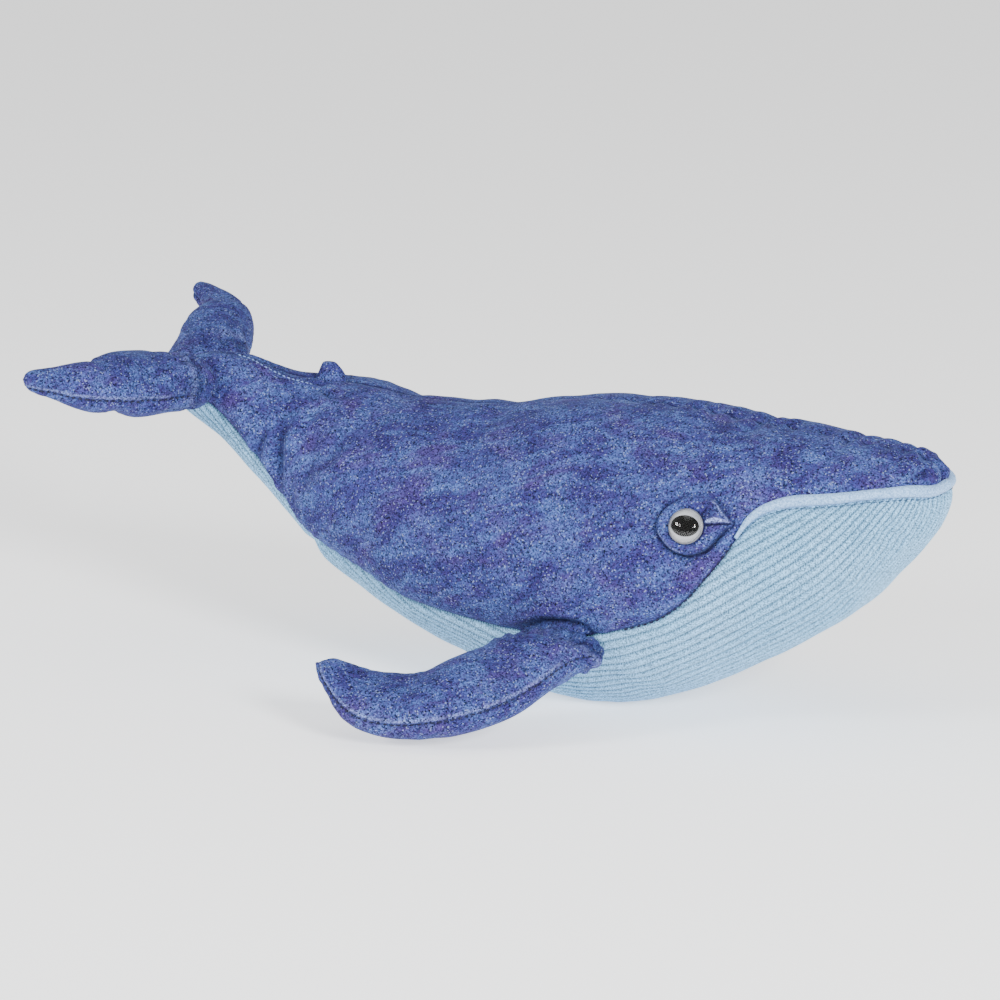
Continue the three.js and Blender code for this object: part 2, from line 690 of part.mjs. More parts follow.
function dishGeometry() {
  const rim = EYE_DIAMETER / 2 + EYE_RIM;
  const core = SHANK_DIAMETER / 2;
  const barbPitch = (SHANK_LENGTH - 2 * SHANK_BARB_DEPTH) / (SHANK_BARBS + 1);
  const foot = dishFoot - SHANK_LENGTH;
  const profile = [
    [0, foot],
    [core - SHANK_BARB_DEPTH, foot],
  ];
  for (let i = 1; i <= SHANK_BARBS; i += 1) {
    profile.push([core, foot + barbPitch * i]);
    profile.push([core - SHANK_BARB_DEPTH, foot + barbPitch * i + SHANK_BARB_DEPTH]);
  }
  profile.push([core - SHANK_BARB_DEPTH, dishFoot], [rim, dishFoot], [rim, dishTop], [0, dishTop]);
  return latheGeometry(profile);
}

function pupilGeometry() {
  const outline = new THREE.Shape();
  outline.absellipse(0, 0, PUPIL_LENGTH / 2, PUPIL_HEIGHT / 2, 0, FULL_TURN);
  const geometry = new THREE.ExtrudeGeometry(outline, {
    depth: PUPIL_THICKNESS,
    bevelEnabled: false,
    curveSegments: ROUND_SIDES,
  });
  return geometry.translate(0, 0, lensFoot);
}

function lensGeometry() {
  const edge = EYE_DIAMETER / 2;
  const recess = (edge + PUPIL_LENGTH / 2) / 2;
  const ceiling = pupilTop + PIECE_GAP;
  const profile = [
    [0, ceiling],
    [recess, ceiling],
    [recess, lensFoot],
    [edge, lensFoot],
  ];
  for (let i = 1; i <= DOME_STEPS; i += 1) {
    const turn = (QUARTER_TURN * i) / DOME_STEPS;
    profile.push([i < DOME_STEPS ? edge * Math.cos(turn) : 0, lensFoot + EYE_DOME_HEIGHT * Math.sin(turn)]);
  }
  return latheGeometry(profile);
}

function washerGeometry() {
  const outline = new THREE.Shape();
  outline.absarc(0, 0, WASHER_DIAMETER / 2, 0, FULL_TURN);
  const bore = new THREE.Path();
  const inner = SHANK_DIAMETER / 2 + PIECE_GAP;
  for (let i = 0; i <= 2 * WASHER_TEETH; i += 1) {
    const turn = (HALF_TURN * i) / WASHER_TEETH;
    const radius = inner + (i % 2) * WASHER_TOOTH_DEPTH;
    if (i === 0) {
      bore.moveTo(radius, 0);
    } else {
      bore.lineTo(radius * Math.cos(turn), radius * Math.sin(turn));
    }
  }
  outline.holes.push(bore);
  const geometry = new THREE.ExtrudeGeometry(outline, {
    depth: WASHER_THICKNESS,
    bevelEnabled: false,
    curveSegments: ROUND_SIDES / 2,
  });
  return geometry.translate(0, 0, washerFoot);
}

// The place on the skin that lies a given way across the eye's own plane.
function skinUnder(frame, ahead, across) {
  let share = EYE_ALONG_SHARE;
  let turn = frame.turn;
  const miss = (s, t) => {
    const from = formPoint(bodyForm, s, t).sub(frame.skin);
    return [from.dot(frame.ahead) - ahead, from.dot(frame.across) - across];
  };
  for (let i = 0; i < NEWTON_STEPS; i += 1) {
    const [f, g] = miss(share, turn);
    const [fs, gs] = miss(share + SLOPE_STEP_SHARE, turn).map((v, k) => (v - [f, g][k]) / SLOPE_STEP_SHARE);
    const [ft, gt] = miss(share, turn + SLOPE_STEP_SHARE).map((v, k) => (v - [f, g][k]) / SLOPE_STEP_SHARE);
    const determinant = fs * gt - ft * gs;
    share -= (f * gt - g * ft) / determinant;
    turn -= (g * fs - f * gs) / determinant;
  }
  return [share, turn];
}

// How far the teardrop reaches from the eye's centre in a direction measured from its point.
function patchReach(turn) {
  const pointed = Math.max(Math.cos(turn), 0) ** PATCH_POINT_POWER;
  return PATCH_RADIUS + (PATCH_POINT - PATCH_RADIUS) * pointed;
}

function patchGeometry(frame, side) {
  const layers = [patchTop, PIECE_GAP].map((offset) => {
    const rings = [];
    for (let i = 0; i <= PATCH_RINGS; i += 1) {
      const ring = [];
      for (let j = 0; j < PATCH_SPOKES; j += 1) {
        const turn = (FULL_TURN * j) / PATCH_SPOKES;
        const hole = SHANK_DIAMETER / 2 + PIECE_GAP;
        const reach = hole + ((patchReach(turn) - hole) * i) / PATCH_RINGS;
        const raised = turn - side * radians(PATCH_TIP_TURN);
        const [share, place] = skinUnder(frame, reach * Math.cos(raised), reach * Math.sin(raised));
        ring.push(offsetPoint(bodyForm, share, place, offset));
      }
      rings.push(ring);
    }
    return rings;
  });
  return shellGeometry(layers[0], layers[1], true);
}

function borer(frame, radius, from, to) {
  const depth = to - from;
  const tool = new THREE.CylinderGeometry(radius, radius, depth, ROUND_SIDES);
  tool.rotateX(QUARTER_TURN).translate(0, 0, (from + to) / 2);
  tool.applyMatrix4(new THREE.Matrix4().makeBasis(frame.ahead, frame.across, frame.out).setPosition(frame.skin));
  return toSolid(tool);
}

function addEye(word, frame, side) {
  const group = new THREE.Group();
  group.name = `eye_${word}`;
  group.quaternion.setFromRotationMatrix(new THREE.Matrix4().makeBasis(frame.ahead, frame.across, frame.out));
  group.position.copy(frame.skin);
  model.add(group);
  add(`eye_${word}_dish`, dishGeometry(), pearl(), group);
  add(`eye_${word}_pupil`, pupilGeometry(), black(), group);
  add(`eye_${word}_lens`, lensGeometry(), clear(), group);
  add(`eye_${word}_washer`, washerGeometry(), white(), group);
  add(`eye_patch_${word}`, patchGeometry(frame, side), plush());
}

function addBody() {
  const lipChannel = toSolid(lipGeometry(LIP_RADIUS + PIECE_GAP));
  const rightSide = panelGeometry(
    bodyForm,
    BODY_ROWS,
    SIDE_COLUMNS,
    PANEL_START_SHARE,
    PANEL_END_SHARE,
    sideEdges,
    PLUSH_THICKNESS,
  );
  const leftSide = panelGeometry(
    bodyForm,
    BODY_ROWS,
    SIDE_COLUMNS,
    PANEL_START_SHARE,
    PANEL_END_SHARE,
    (share) => sideEdges(share).map((turn) => FULL_TURN - turn),
    PLUSH_THICKNESS,
  );
  const belly = panelGeometry(
    bodyForm,
    BODY_ROWS,
    BELLY_COLUMNS,
    PANEL_START_SHARE,
    PANEL_END_SHARE,
    bellyEdges,
    RIBBED_THICKNESS,
  );
  const rowDip = (BODY_LENGTH / BODY_ROWS) ** 2 / BODY_HEIGHT;
  const dip = facetDip(BODY_WIDTH / 2, SIDE_COLUMNS) + rowDip;
  const inset = -Math.max(PLUSH_THICKNESS, RIBBED_THICKNESS) - PIECE_GAP - dip;
  let stuffing = toSolid(stuffedGeometry(bodyForm, BODY_STUFFING_ROWS, BODY_STUFFING_COLUMNS, inset));
  const panels = { right: rightSide, left: leftSide };
  for (const [word, side] of [
    ['right', -1],
    ['left', 1],
  ]) {
    const frame = eyeFrame(side);
    const hole = borer(frame, SHANK_DIAMETER / 2 + PIECE_GAP, washerFoot, dishFoot);
    const panel = toSolid(panels[word]).subtract(hole).subtract(lipChannel);
    add(`side_panel_${word}`, fromSolid(panel), plush());
    const pocketFoot = dishFoot - SHANK_LENGTH - PIECE_GAP;
    stuffing = stuffing.subtract(borer(frame, WASHER_DIAMETER / 2 + PIECE_GAP, pocketFoot, dishFoot));
    addEye(word, frame, side);
  }
  const below = new THREE.BoxGeometry(BODY_LENGTH, BODY_WIDTH, BODY_HEIGHT).translate(0, 0, -BODY_HEIGHT / 2);
  add('belly_panel', fromSolid(toSolid(belly).subtract(lipChannel).subtract(toSolid(below))), ribbed());
  add('body_stuffing', fromSolid(stuffing.subtract(lipChannel)), fibre());
  add('lip_piping', lipGeometry(LIP_RADIUS), piping());
  add('dorsal_fin', dorsalGeometry(), plush());
}

addBody();
addFlippers();
addFlukes();

export default model;
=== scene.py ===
"""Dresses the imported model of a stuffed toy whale.

Every cover is made from the loft that its solid was made from, much finer, and then gets what sewing and
stuffing do to cloth: drawn-in seams, puckers, folds at the roots of the fins, ribs and stitches.
Metres, nose towards +X, the whale's left towards +Y, up +Z.
"""

import json
import logging
import math
from dataclasses import dataclass
from enum import Enum
from typing import Callable, Optional

import bmesh
import bpy
import numpy as np
from bpy.types import ID, Material, Node, NodeSocket, NodeTree, Object
from mathutils import Matrix, Vector


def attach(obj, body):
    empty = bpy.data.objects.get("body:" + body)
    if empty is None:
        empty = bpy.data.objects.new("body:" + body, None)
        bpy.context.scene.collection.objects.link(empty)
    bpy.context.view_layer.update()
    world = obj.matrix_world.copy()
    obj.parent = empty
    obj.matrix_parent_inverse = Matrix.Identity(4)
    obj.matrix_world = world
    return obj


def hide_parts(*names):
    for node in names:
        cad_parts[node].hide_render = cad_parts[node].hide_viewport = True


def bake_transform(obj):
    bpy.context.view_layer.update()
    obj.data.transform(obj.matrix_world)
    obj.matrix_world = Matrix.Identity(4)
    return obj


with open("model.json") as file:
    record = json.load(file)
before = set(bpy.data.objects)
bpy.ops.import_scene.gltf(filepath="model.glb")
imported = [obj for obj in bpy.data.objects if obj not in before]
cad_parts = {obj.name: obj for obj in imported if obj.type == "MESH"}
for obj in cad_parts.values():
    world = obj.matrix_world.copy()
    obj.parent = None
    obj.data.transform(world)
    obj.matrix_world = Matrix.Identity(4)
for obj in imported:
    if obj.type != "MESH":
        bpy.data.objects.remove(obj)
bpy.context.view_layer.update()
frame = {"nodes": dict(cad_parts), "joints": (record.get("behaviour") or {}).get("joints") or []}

LOG = logging.getLogger("whale")
MM = 0.001
QUARTER_TURN = math.pi / 2
HALF_TURN = math.pi
FULL_TURN = 2 * math.pi
# The step over which a form's slope is measured, as a share of its length and of a whole turn.
SLOPE_STEP_SHARE = 0.004
# Where a form is thickest, as a share of the way from its first edge to its second.
CREST_SHARE = 0.48
# The Mix node's colour sockets by number, because several of its sockets share each name.
MIX_AMOUNT, MIX_LOW, MIX_HIGH, MIX_RESULT = 0, 6, 7, 2

# Body stations from the tail to the nose, as shares of the body's length, height and half-width: back seam
# along and up, belly line along and up, widest line along, out and up. The belly's lowest station lies a
# little under the resting level, and the cover is pressed flat there.
BODY_STATION_SHARES = (
    (0, 0.9, 0, 0.9, 0, 0, 0.9),
    (0.022, 1.01, 0.006, 0.865, 0.013, 0.12, 0.92),
    (0.093, 1.028, 0.066, 0.735, 0.077, 0.29, 0.885),
    (0.154, 0.984, 0.124, 0.575, 0.14, 0.42, 0.79),
    (0.231, 0.961, 0.198, 0.388, 0.216, 0.6, 0.685),
    (0.333, 0.938, 0.305, 0.222, 0.321, 0.81, 0.58),
    (0.449, 0.95, 0.435, 0.08, 0.442, 0.94, 0.512),
    (0.58, 1.006, 0.59, -0.006, 0.585, 1, 0.495),
    (0.688, 0.998, 0.704, 0.088, 0.698, 0.99, 0.515),
    (0.776, 0.972, 0.8, 0.228, 0.79, 0.9, 0.565),
    (0.865, 0.955, 0.896, 0.4, 0.884, 0.73, 0.635),
    (0.936, 0.936, 0.962, 0.602, 0.953, 0.51, 0.725),
    (0.981, 0.902, 0.995, 0.742, 0.989, 0.27, 0.8),
    (1, 0.83, 1, 0.83, 1, 0, 0.83),
)
# The side seam and mouth line: share of the stations, and share of the half turn from back to belly.
SEAM_SHARES = (
    (0, 0.5),
    (0.077, 0.5),
    (0.13, 0.535),
    (0.16, 0.57),
    (0.2, 0.625),
    (0.24, 0.675),
    (0.275, 0.705),
    (0.31, 0.714),
    (0.36, 0.7),
    (0.4, 0.683),
    (0.45, 0.66),
    (0.5, 0.645),
    (0.55, 0.63),
    (0.6, 0.614),
    (0.635, 0.594),
    (0.66, 0.558),
    (0.68, 0.506),
    (0.696, 0.462),
    (0.71, 0.405),
    (0.72, 0.365),
    (0.735, 0.337),
    (0.76, 0.324),
    (0.8, 0.33),
    (0.85, 0.341),
    (0.9, 0.374),
    (0.95, 0.445),
    (1, 0.5),
)
# Fin stations past the round root, as shares of the fin's length, half-chord and half-thickness:
# leading edge out and forward, trailing edge out and forward, half-thickness, and lift of the middle.
FLIPPER_STATION_SHARES = (
    (0.154, 0.7, 0.022, -1.2, 0.96, 0),
    (0.471, 0.22, 0.143, -1.58, 1, 0),
    (0.711, -0.46, 0.257, -2, 1, 0),
    (0.865, -1.34, 0.372, -2.4, 0.96, 0),
    (0.941, -2.1, 0.438, -2.78, 0.88, 0.1),
    (0.958, -2.7, 0.487, -3.1, 0.76, 0.35),
    (0.919, -3.22, 0.525, -3.42, 0.62, 0.8),
    (0.799, -3.75, 0.569, -3.72, 0.44, 1.25),
    (0.668, -4.05, 0.668, -4.05, 0, 1.6),
)
FLUKE_STATION_SHARES = (
    (0.29, 1, 0.27, -0.66, 1.12, 0.04),
    (0.44, 1.03, 0.41, -0.5, 1.03, 0.05),
    (0.58, 0.97, 0.54, -0.26, 0.9, 0),
    (0.71, 0.82, 0.67, -0.1, 0.75, 0),
    (0.82, 0.58, 0.79, -0.08, 0.56, 0),
    (0.92, 0.36, 0.9, -0.12, 0.4, 0),
    (0.965, 0.2, 0.95, -0.06, 0.26, 0),
    (0.978, 0.07, 0.978, 0.07, 0, 0),
)
# Dorsal fin stations, as shares of its height, length and half-thickness: front edge up and ahead, rear edge
# up and ahead, and half-thickness.
DORSAL_STATION_SHARES = (
    (-0.8, 0, -0.8, 0, 0),
    (-0.6, 0.42, -0.6, -0.42, 0.9),
    (-0.1, 0.5, -0.1, -0.5, 1),
    (0.3, 0.4, 0.3, -0.42, 0.86),
    (0.7, 0.26, 0.72, -0.32, 0.66),
    (0.93, 0.16, 0.95, -0.24, 0.42),
    (1, -0.04, 1, -0.04, 0),
)

# The outline of the eye's patch: degrees from ahead towards up, share of its radius, darkness of the shade
# painted in its groove.
PATCH_EDGE = (
    (-180, 1.08, 0.6),
    (-168, 1.07, 0.6),
    (-140, 0.96, 0.9),
    (-105, 0.93, 1),
    (-74, 0.95, 1),
    (-50, 0.97, 0.9),
    (-17, 1.06, 0.8),
    (4, 1.27, 0.6),
    (11, 1.56, 0.5),
    (26, 1.36, 0.6),
    (51, 1.27, 0.45),
    (62, 1.24, 0.1),
    (80, 1.15, 0.05),
    (100, 1.08, 0.15),
    (118, 1.03, 0.8),
    (134, 1.02, 1),
    (150, 1.05, 0.9),
    (168, 1.08, 0.6),
    (180, 1.08, 0.6),
)


class Side(Enum):
    """One side of the whale, with the sign of its Y direction."""

    RIGHT = -1
    LEFT = 1

    @property
    def word(self) -> str:
        """The side's name in the names of pieces."""
        return self.name.lower()


class Face(Enum):
    """The upper or lower face of a fin, with the number of half turns at which it starts."""

    UPPER = 0
    LOWER = 1

    @property
    def word(self) -> str:
        """The face's name in the names of pieces."""
        return self.name.lower()


def linear(code: str, alpha: float = 1.0) -> tuple[float, float, float, float]:
    """Turns a colour into the linear values that sockets hold.

    Args:
        code: sRGB hex colour, such as "#52629a".
        alpha: opacity.

    Returns:
        Linear red, green and blue, and alpha.
    """
    channels = []
    for i in (1, 3, 5):
        value = int(code[i : i + 2], 16) / 255
        channels.append(value / 12.92 if value <= 0.04045 else ((value + 0.055) / 1.055) ** 2.4)
    return (*channels, alpha)


def add_node(
    tree: NodeTree, kind: str, inputs: Optional[dict] = None, stops: tuple = (), **settings
) -> Node:
    """Adds a node with its settings, values and links.

    Args:
        tree: the node tree to add to.
        kind: the node's type name.
        inputs: socket name or number to a value, or to the output socket that feeds it.
        stops: a colour ramp's two pairs of a position and a linear colour.
        settings: attributes of the node.

    Returns:
        The new node.
    """
    made = tree.nodes.new(kind)
    for name, value in settings.items():
        setattr(made, name, value)
    for key, value in (inputs or {}).items():
        if isinstance(value, NodeSocket):
            tree.links.new(value, made.inputs[key])
        else:
            made.inputs[key].default_value = value
    for number, (position, colour) in enumerate(stops):
        made.color_ramp.elements[number].position = position
        made.color_ramp.elements[number].color = colour
    return made


def grey(value: float) -> tuple[float, float, float, float]:
    """A grey of that linear value, for a ramp that carries a number."""
    return (value, value, value, 1.0)


def layered(tree: NodeTree, ground: NodeSocket, layers: tuple) -> NodeSocket:
    """Lays colours over a ground, as print, wear and shade do.

    Args:
        tree: the node tree to add to.
        ground: the colour underneath.
        layers: pairs of the socket that says how much shows, and an sRGB hex colour.

    Returns:
        The socket of the finished colour.
    """
    for amount, colour in layers:
        sockets = {MIX_AMOUNT: amount, MIX_LOW: ground, MIX_HIGH: linear(colour)}
        ground = add_node(tree, "ShaderNodeMix", sockets, data_type="RGBA").outputs[MIX_RESULT]
    return ground


def new_material(name: str, values: dict) -> tuple[Material, NodeTree, Node]:
    """Starts a material.

    Args:
        name: the finish, in a maker's words.
        values: shader socket to the value that is the same all over the surface.

    Returns:
        The material, its node tree and its principled shader.
    """
    material = bpy.data.materials.new(name)
    material.use_nodes = True
    tree = material.node_tree
    shader = tree.nodes["Principled BSDF"]
    for key, value in values.items():
        shader.inputs[key].default_value = value
    return material, tree, shader


def join_surface(
    tree: NodeTree,
    shader: Node,
    colour: NodeSocket,
    height: NodeSocket,
    strength: float,
    depth: float,
) -> None:
    """Gives a shader its colour and its relief.

    Args:
        tree: the node tree to add to.
        shader: the principled shader.
        colour: the socket of the colour.
        height: the socket of the relief.
        strength: how much of the relief shows.
        depth: how deep it is.
    """
    bump = add_node(tree, "ShaderNodeBump", {"Height": height, "Strength": strength, "Distance": depth})
    tree.links.new(colour, shader.inputs["Base Color"])
    tree.links.new(bump.outputs["Normal"], shader.inputs["Normal"])


@dataclass(frozen=True)
class PlushFinish:
    """Short-pile polyester plush, printed in mottled blues: matt velvet, where each tuft has its own shade.

    The attribute "fold" tells where shade is painted into seams, creases, grooves and folds.
    The attribute "pale" tells where painted highlights lighten ridges, edges and the lid's sliver.
    The tufts are drawn coarser than real pile, which would be too fine to show.
    """

    name: str = "printed_short_pile_plush"
    deep: str = "#242357"
    middle: str = "#2c3268"
    light: str = "#425a92"
    violet: str = "#3f2f66"
    shade: str = "#0a0b24"
    glint: str = "#9fb0dc"
    worn: str = "#8492cc"
    nap_light: str = "#8ea6e6"
    patch_size: float = 17 * MM
    streak_width: float = 5.5 * MM
    streak_stretch: float = 3.8
    streak_tilt: float = 24.0
    tuft_size: float = 0.45 * MM
    darkest_tuft: float = 0.03
    brightest_tuft: float = 2.08
    clump_size: float = 1.9 * MM
    pile_depth: float = 0.4 * MM

    def print_colour(self, tree: NodeTree, place: NodeSocket) -> NodeSocket:
        """Draws the print: deep and violet patches under soft light streaks that rise towards the nose.

        Args:
            tree: the node tree to add to.
            place: the Object coordinates.

        Returns:
            The print's colour socket.
        """
        sockets = {"Vector": place, "Scale": 1 / self.patch_size, "Detail": 3.0, "Distortion": 0.8}
        patches = add_node(tree, "ShaderNodeTexNoise", sockets)
        tint = add_node(tree, "ShaderNodeSeparateColor", {"Color": patches.outputs["Color"]})
        sockets = {"Vector": place, "Rotation": (0.0, math.radians(self.streak_tilt), 0.0)}
        turned = add_node(tree, "ShaderNodeMapping", sockets)
        sockets = {"Vector": turned.outputs["Vector"], "Scale": (1 / self.streak_stretch, 1.0, 1.0)}
        sockets = {
            "Vector": add_node(tree, "ShaderNodeMapping", sockets).outputs["Vector"],
            "Scale": 1 / self.streak_width,
            "Detail": 4.0,
            "Roughness": 0.6,
            "Distortion": 0.5,
        }
        streaks = add_node(tree, "ShaderNodeTexNoise", sockets)
        ground, violet, lit = (
            add_node(tree, "ShaderNodeValToRGB", {"Fac": value}, stops).outputs["Color"]
            for value, stops in (
                (patches.outputs["Fac"], ((0.38, linear(self.deep)), (0.6, linear(self.middle)))),
                (tint.outputs["Green"], ((0.5, grey(0.0)), (0.66, grey(0.55)))),
                (streaks.outputs["Fac"], ((0.42, grey(0.0)), (0.72, grey(0.85)))),
            )
        )
        return layered(tree, ground, ((violet, self.violet), (lit, self.light)))

    def build(self) -> Material:
        """Makes the material.

        Returns:
            The material.
        """
        values = {
            "Roughness": 0.92,
            "Specular IOR Level": 0.15,
            "Sheen Weight": 0.12,
            "Sheen Roughness": 0.4,
            "Sheen Tint": linear(self.nap_light),
        }
        material, tree, shader = new_material(self.name, values)
        place = add_node(tree, "ShaderNodeTexCoord").outputs["Object"]
        pale, fold = (
            add_node(tree, "ShaderNodeAttribute", attribute_name=name).outputs["Fac"]
            for name in ("pale", "fold")
        )
        # Painted highlight, where the attribute "pale" says so.
        printed = layered(tree, self.print_colour(tree, place), ((pale, self.worn),))
        tufts = add_node(tree, "ShaderNodeTexVoronoi", {"Vector": place, "Scale": 1 / self.tuft_size})
        lot = add_node(tree, "ShaderNodeSeparateColor", {"Color": tufts.outputs["Color"]})
        sockets = {"Value": lot.outputs["Red"], "To Min": self.darkest_tuft, "To Max": self.brightest_tuft}
        tone = add_node(tree, "ShaderNodeMapRange", sockets)
        sockets = {MIX_AMOUNT: 1.0, MIX_LOW: printed, MIX_HIGH: tone.outputs["Result"]}
        toned = add_node(tree, "ShaderNodeMix", sockets, data_type="RGBA", blend_type="MULTIPLY")
        purple, bright = (
            add_node(tree, "ShaderNodeValToRGB", {"Fac": lot.outputs[channel]}, stops).outputs["Color"]
            for channel, stops in (
                ("Green", ((0.72, grey(0.0)), (0.78, grey(0.5)))),
                ("Blue", ((0.95, grey(0.0)), (0.97, grey(0.4)))),
            )
        )
        # The last layer is painted shade, where the attribute "fold" says so.
        layers = ((purple, self.violet), (bright, self.glint), (fold, self.shade))
        colour = layered(tree, toned.outputs[MIX_RESULT], layers)
        sockets = {"Vector": place, "Scale": 1 / self.clump_size, "Detail": 3.0, "Roughness": 0.75}
        clumps = add_node(tree, "ShaderNodeTexNoise", sockets)
        join_surface(tree, shader, colour, clumps.outputs["Fac"], 0.7, self.pile_depth)
        return material


@dataclass(frozen=True)
class CorduroyFinish:
    """Wide-wale cotton corduroy: matt, with soft ribs; shade is painted into the grooves and beside the seam,
    darker and a little green.
    """

    name: str = "pale_blue_wide_wale_corduroy"
    rib: str = "#98d2ff"
    soft: str = "#8ac8f6"
    groove: str = "#1f4354"
    nap_light: str = "#e8f2fb"
    nap_size: float = 0.5 * MM
    cloud_size: float = 30 * MM
    nap_depth: float = 0.25 * MM
    tuft_pitch: float = 1.05 * MM

    def build(self) -> Material:
        """Makes the material.

        Returns:
            The material.
        """
        values = {
            "Roughness": 0.93,
            "Specular IOR Level": 0.2,
            "Sheen Weight": 0.2,
            "Sheen Roughness": 0.5,
            "Sheen Tint": linear(self.nap_light),
        }
        material, tree, shader = new_material(self.name, values)
        place = add_node(tree, "ShaderNodeTexCoord").outputs["Object"]
        sockets = {"Vector": place, "Scale": 1 / self.cloud_size, "Detail": 2.0}
        clouds = add_node(tree, "ShaderNodeTexNoise", sockets)
        sockets = {"Vector": place, "Scale": 1 / self.nap_size, "Detail": 2.0, "Roughness": 0.7}
        nap = add_node(tree, "ShaderNodeTexNoise", sockets)
        groove = add_node(tree, "ShaderNodeAttribute", attribute_name="groove")
        cloth = add_node(tree, "ShaderNodeUVMap", uv_map="cloth")
        along = add_node(tree, "ShaderNodeSeparateXYZ", {"Vector": cloth.outputs["UV"]})
        sockets = {0: along.outputs["Y"], 1: FULL_TURN / self.tuft_pitch}
        phase = add_node(tree, "ShaderNodeMath", sockets, operation="MULTIPLY")
        wave = add_node(tree, "ShaderNodeMath", {0: phase.outputs["Value"]}, operation="SINE")
        sockets = {"Value": wave.outputs["Value"], "From Min": -1.0, "To Min": 0.3, "To Max": 1.0}
        dots = add_node(tree, "ShaderNodeMapRange", sockets)
        sockets = {0: groove.outputs["Fac"], 1: dots.outputs["Result"]}
        line = add_node(tree, "ShaderNodeMath", sockets, operation="MULTIPLY")
        base, grain = (
            add_node(tree, "ShaderNodeValToRGB", {"Fac": noise.outputs["Fac"]}, stops).outputs["Color"]
            for noise, stops in (
                (clouds, ((0.35, linear(self.soft)), (0.6, linear(self.rib)))),
                (nap, ((0.37, grey(0.18)), (0.6, grey(1.0)))),
            )
        )
        sockets = {MIX_AMOUNT: 1.0, MIX_LOW: base, MIX_HIGH: grain}
        grained = add_node(tree, "ShaderNodeMix", sockets, data_type="RGBA", blend_type="MULTIPLY")
        # Painted shade in the rib grooves and beside the seam, dotted along the ribs.
        colour = layered(tree, grained.outputs[MIX_RESULT], ((line.outputs["Value"], self.groove),))
        join_surface(tree, shader, colour, nap.outputs["Fac"], 0.6, self.nap_depth)
        return material


@dataclass(frozen=True)
class ClothFinish:
    """Plain woven or knitted polyester, such as piping or thread: matt, with a fine fibre grain."""

    name: str
    colour: str
    shade: str
    fibre_size: float = 0.6 * MM
    fibre_depth: float = 0.12 * MM
    sheen: float = 0.15

    def build(self) -> Material:
        """Makes the material.

        Returns:
            The material.
        """
        values = {"Roughness": 0.9, "Specular IOR Level": 0.25, "Sheen Weight": self.sheen}
        material, tree, shader = new_material(self.name, values)
        place = add_node(tree, "ShaderNodeTexCoord").outputs["Object"]
        sockets = {"Vector": place, "Scale": 1 / self.fibre_size, "Detail": 2.0, "Roughness": 0.65}
        fibres = add_node(tree, "ShaderNodeTexNoise", sockets).outputs["Fac"]
        stops = ((0.35, linear(self.shade)), (0.6, linear(self.colour)))
        colour = add_node(tree, "ShaderNodeValToRGB", {"Fac": fibres}, stops).outputs["Color"]
        join_surface(tree, shader, colour, fibres, 0.5, self.fibre_depth)
        return material


@dataclass(frozen=True)
class MouldedFinish:
    """Injection-moulded plastic: even colour with faint flow marks.

    Painted shade makes it darker where the attribute "rim" says so, if it has a colour for its rim.
    """

    name: str
    colour: str
    shade: str
    roughness: float
    coat: float = 0.0
    rim: str = ""
    gloss: float = 0.5
    bending: float = 1.49
    flow_size: float = 5 * MM

    def build(self) -> Material:
        """Makes the material.

        Returns:
            The material.
        """
        values = {
            "Roughness": self.roughness,
            "IOR": self.bending,
            "Specular IOR Level": self.gloss,
            "Coat Weight": self.coat,
            "Coat Roughness": 0.03,
        }
        material, tree, shader = new_material(self.name, values)
        place = add_node(tree, "ShaderNodeTexCoord").outputs["Object"]
        sockets = {"Vector": place, "Scale": 1 / self.flow_size, "Detail": 2.0}
        flow = add_node(tree, "ShaderNodeTexNoise", sockets).outputs["Fac"]
        stops = ((0.3, linear(self.shade)), (0.7, linear(self.colour)))
        colour = add_node(tree, "ShaderNodeValToRGB", {"Fac": flow}, stops).outputs["Color"]
        # Painted shade towards the rim.
        if self.rim:
            edge = add_node(tree, "ShaderNodeAttribute", attribute_name="rim").outputs["Fac"]
            colour = layered(tree, colour, ((edge, self.rim),))
        tree.links.new(colour, shader.inputs["Base Color"])
        return material


@dataclass(frozen=True)
class AcrylicFinish:
    """Clear cast acrylic, polished: what lies under it shows through, with sharp highlights on top.

    Its index is below acrylic's 1.49, because at 1.49 the pupil under the dome looked grey, not black.
    """

    name: str = "clear_polished_acrylic"
    gloss: float = 0.12
    bending: float = 1.35

    def build(self) -> Material:
        """Makes the material.

        Returns:
            The material.
        """
        values = {
            "Base Color": linear("#ffffff"),
            "Transmission Weight": 1.0,
            "Roughness": 0.0,
            "IOR": self.bending,
            "Specular IOR Level": self.gloss,
        }
        return new_material(self.name, values)[0]


@dataclass(frozen=True)
class BackdropFinish:
    """Seamless white studio paper, lit through from below: matt and plain."""

    name: str = "white_studio_paper"
    glow: float = 0.9

    def build(self) -> Material:
        """Makes the material.

        Returns:
            The material.
        """
        values = {
            "Base Color": linear("#f4f5f6"),
            "Roughness": 0.95,
            "Emission Color": linear("#ffffff"),
            "Emission Strength": self.glow,
        }
        return new_material(self.name, values)[0]


class Finishes:
    """All the finishes, each made once."""

    def __init__(self) -> None:
        """Makes the materials."""
        self.plush = PlushFinish().build()
        self.corduroy = CorduroyFinish().build()
        self.piping = ClothFinish("light_blue_piping", "#9cc4ee", "#6089bb").build()
        self.dark_thread = ClothFinish("navy_thread", "#14183c", "#0c0e26").build()
        self.pale_thread = ClothFinish("grey_blue_thread", "#33506c", "#243c54").build()
        self.blue_thread = ClothFinish("light_blue_thread", "#7f9ad4", "#6079b4").build()
        # The pearl's rim colour is painted shade towards the dish's outer edge.
        pearl = MouldedFinish("pearl_grey_plastic", "#e6e8ee", "#c9ccd6", 0.3, coat=0.3, rim="#585a66")
        self.pearl = pearl.build()
        self.black = MouldedFinish("black_plastic", "#040404", "#020202", 0.6, gloss=0.03).build()
        self.white = MouldedFinish("white_nylon", "#e8e8e6", "#dadad6", 0.5).build()
        self.acrylic = AcrylicFinish().build()


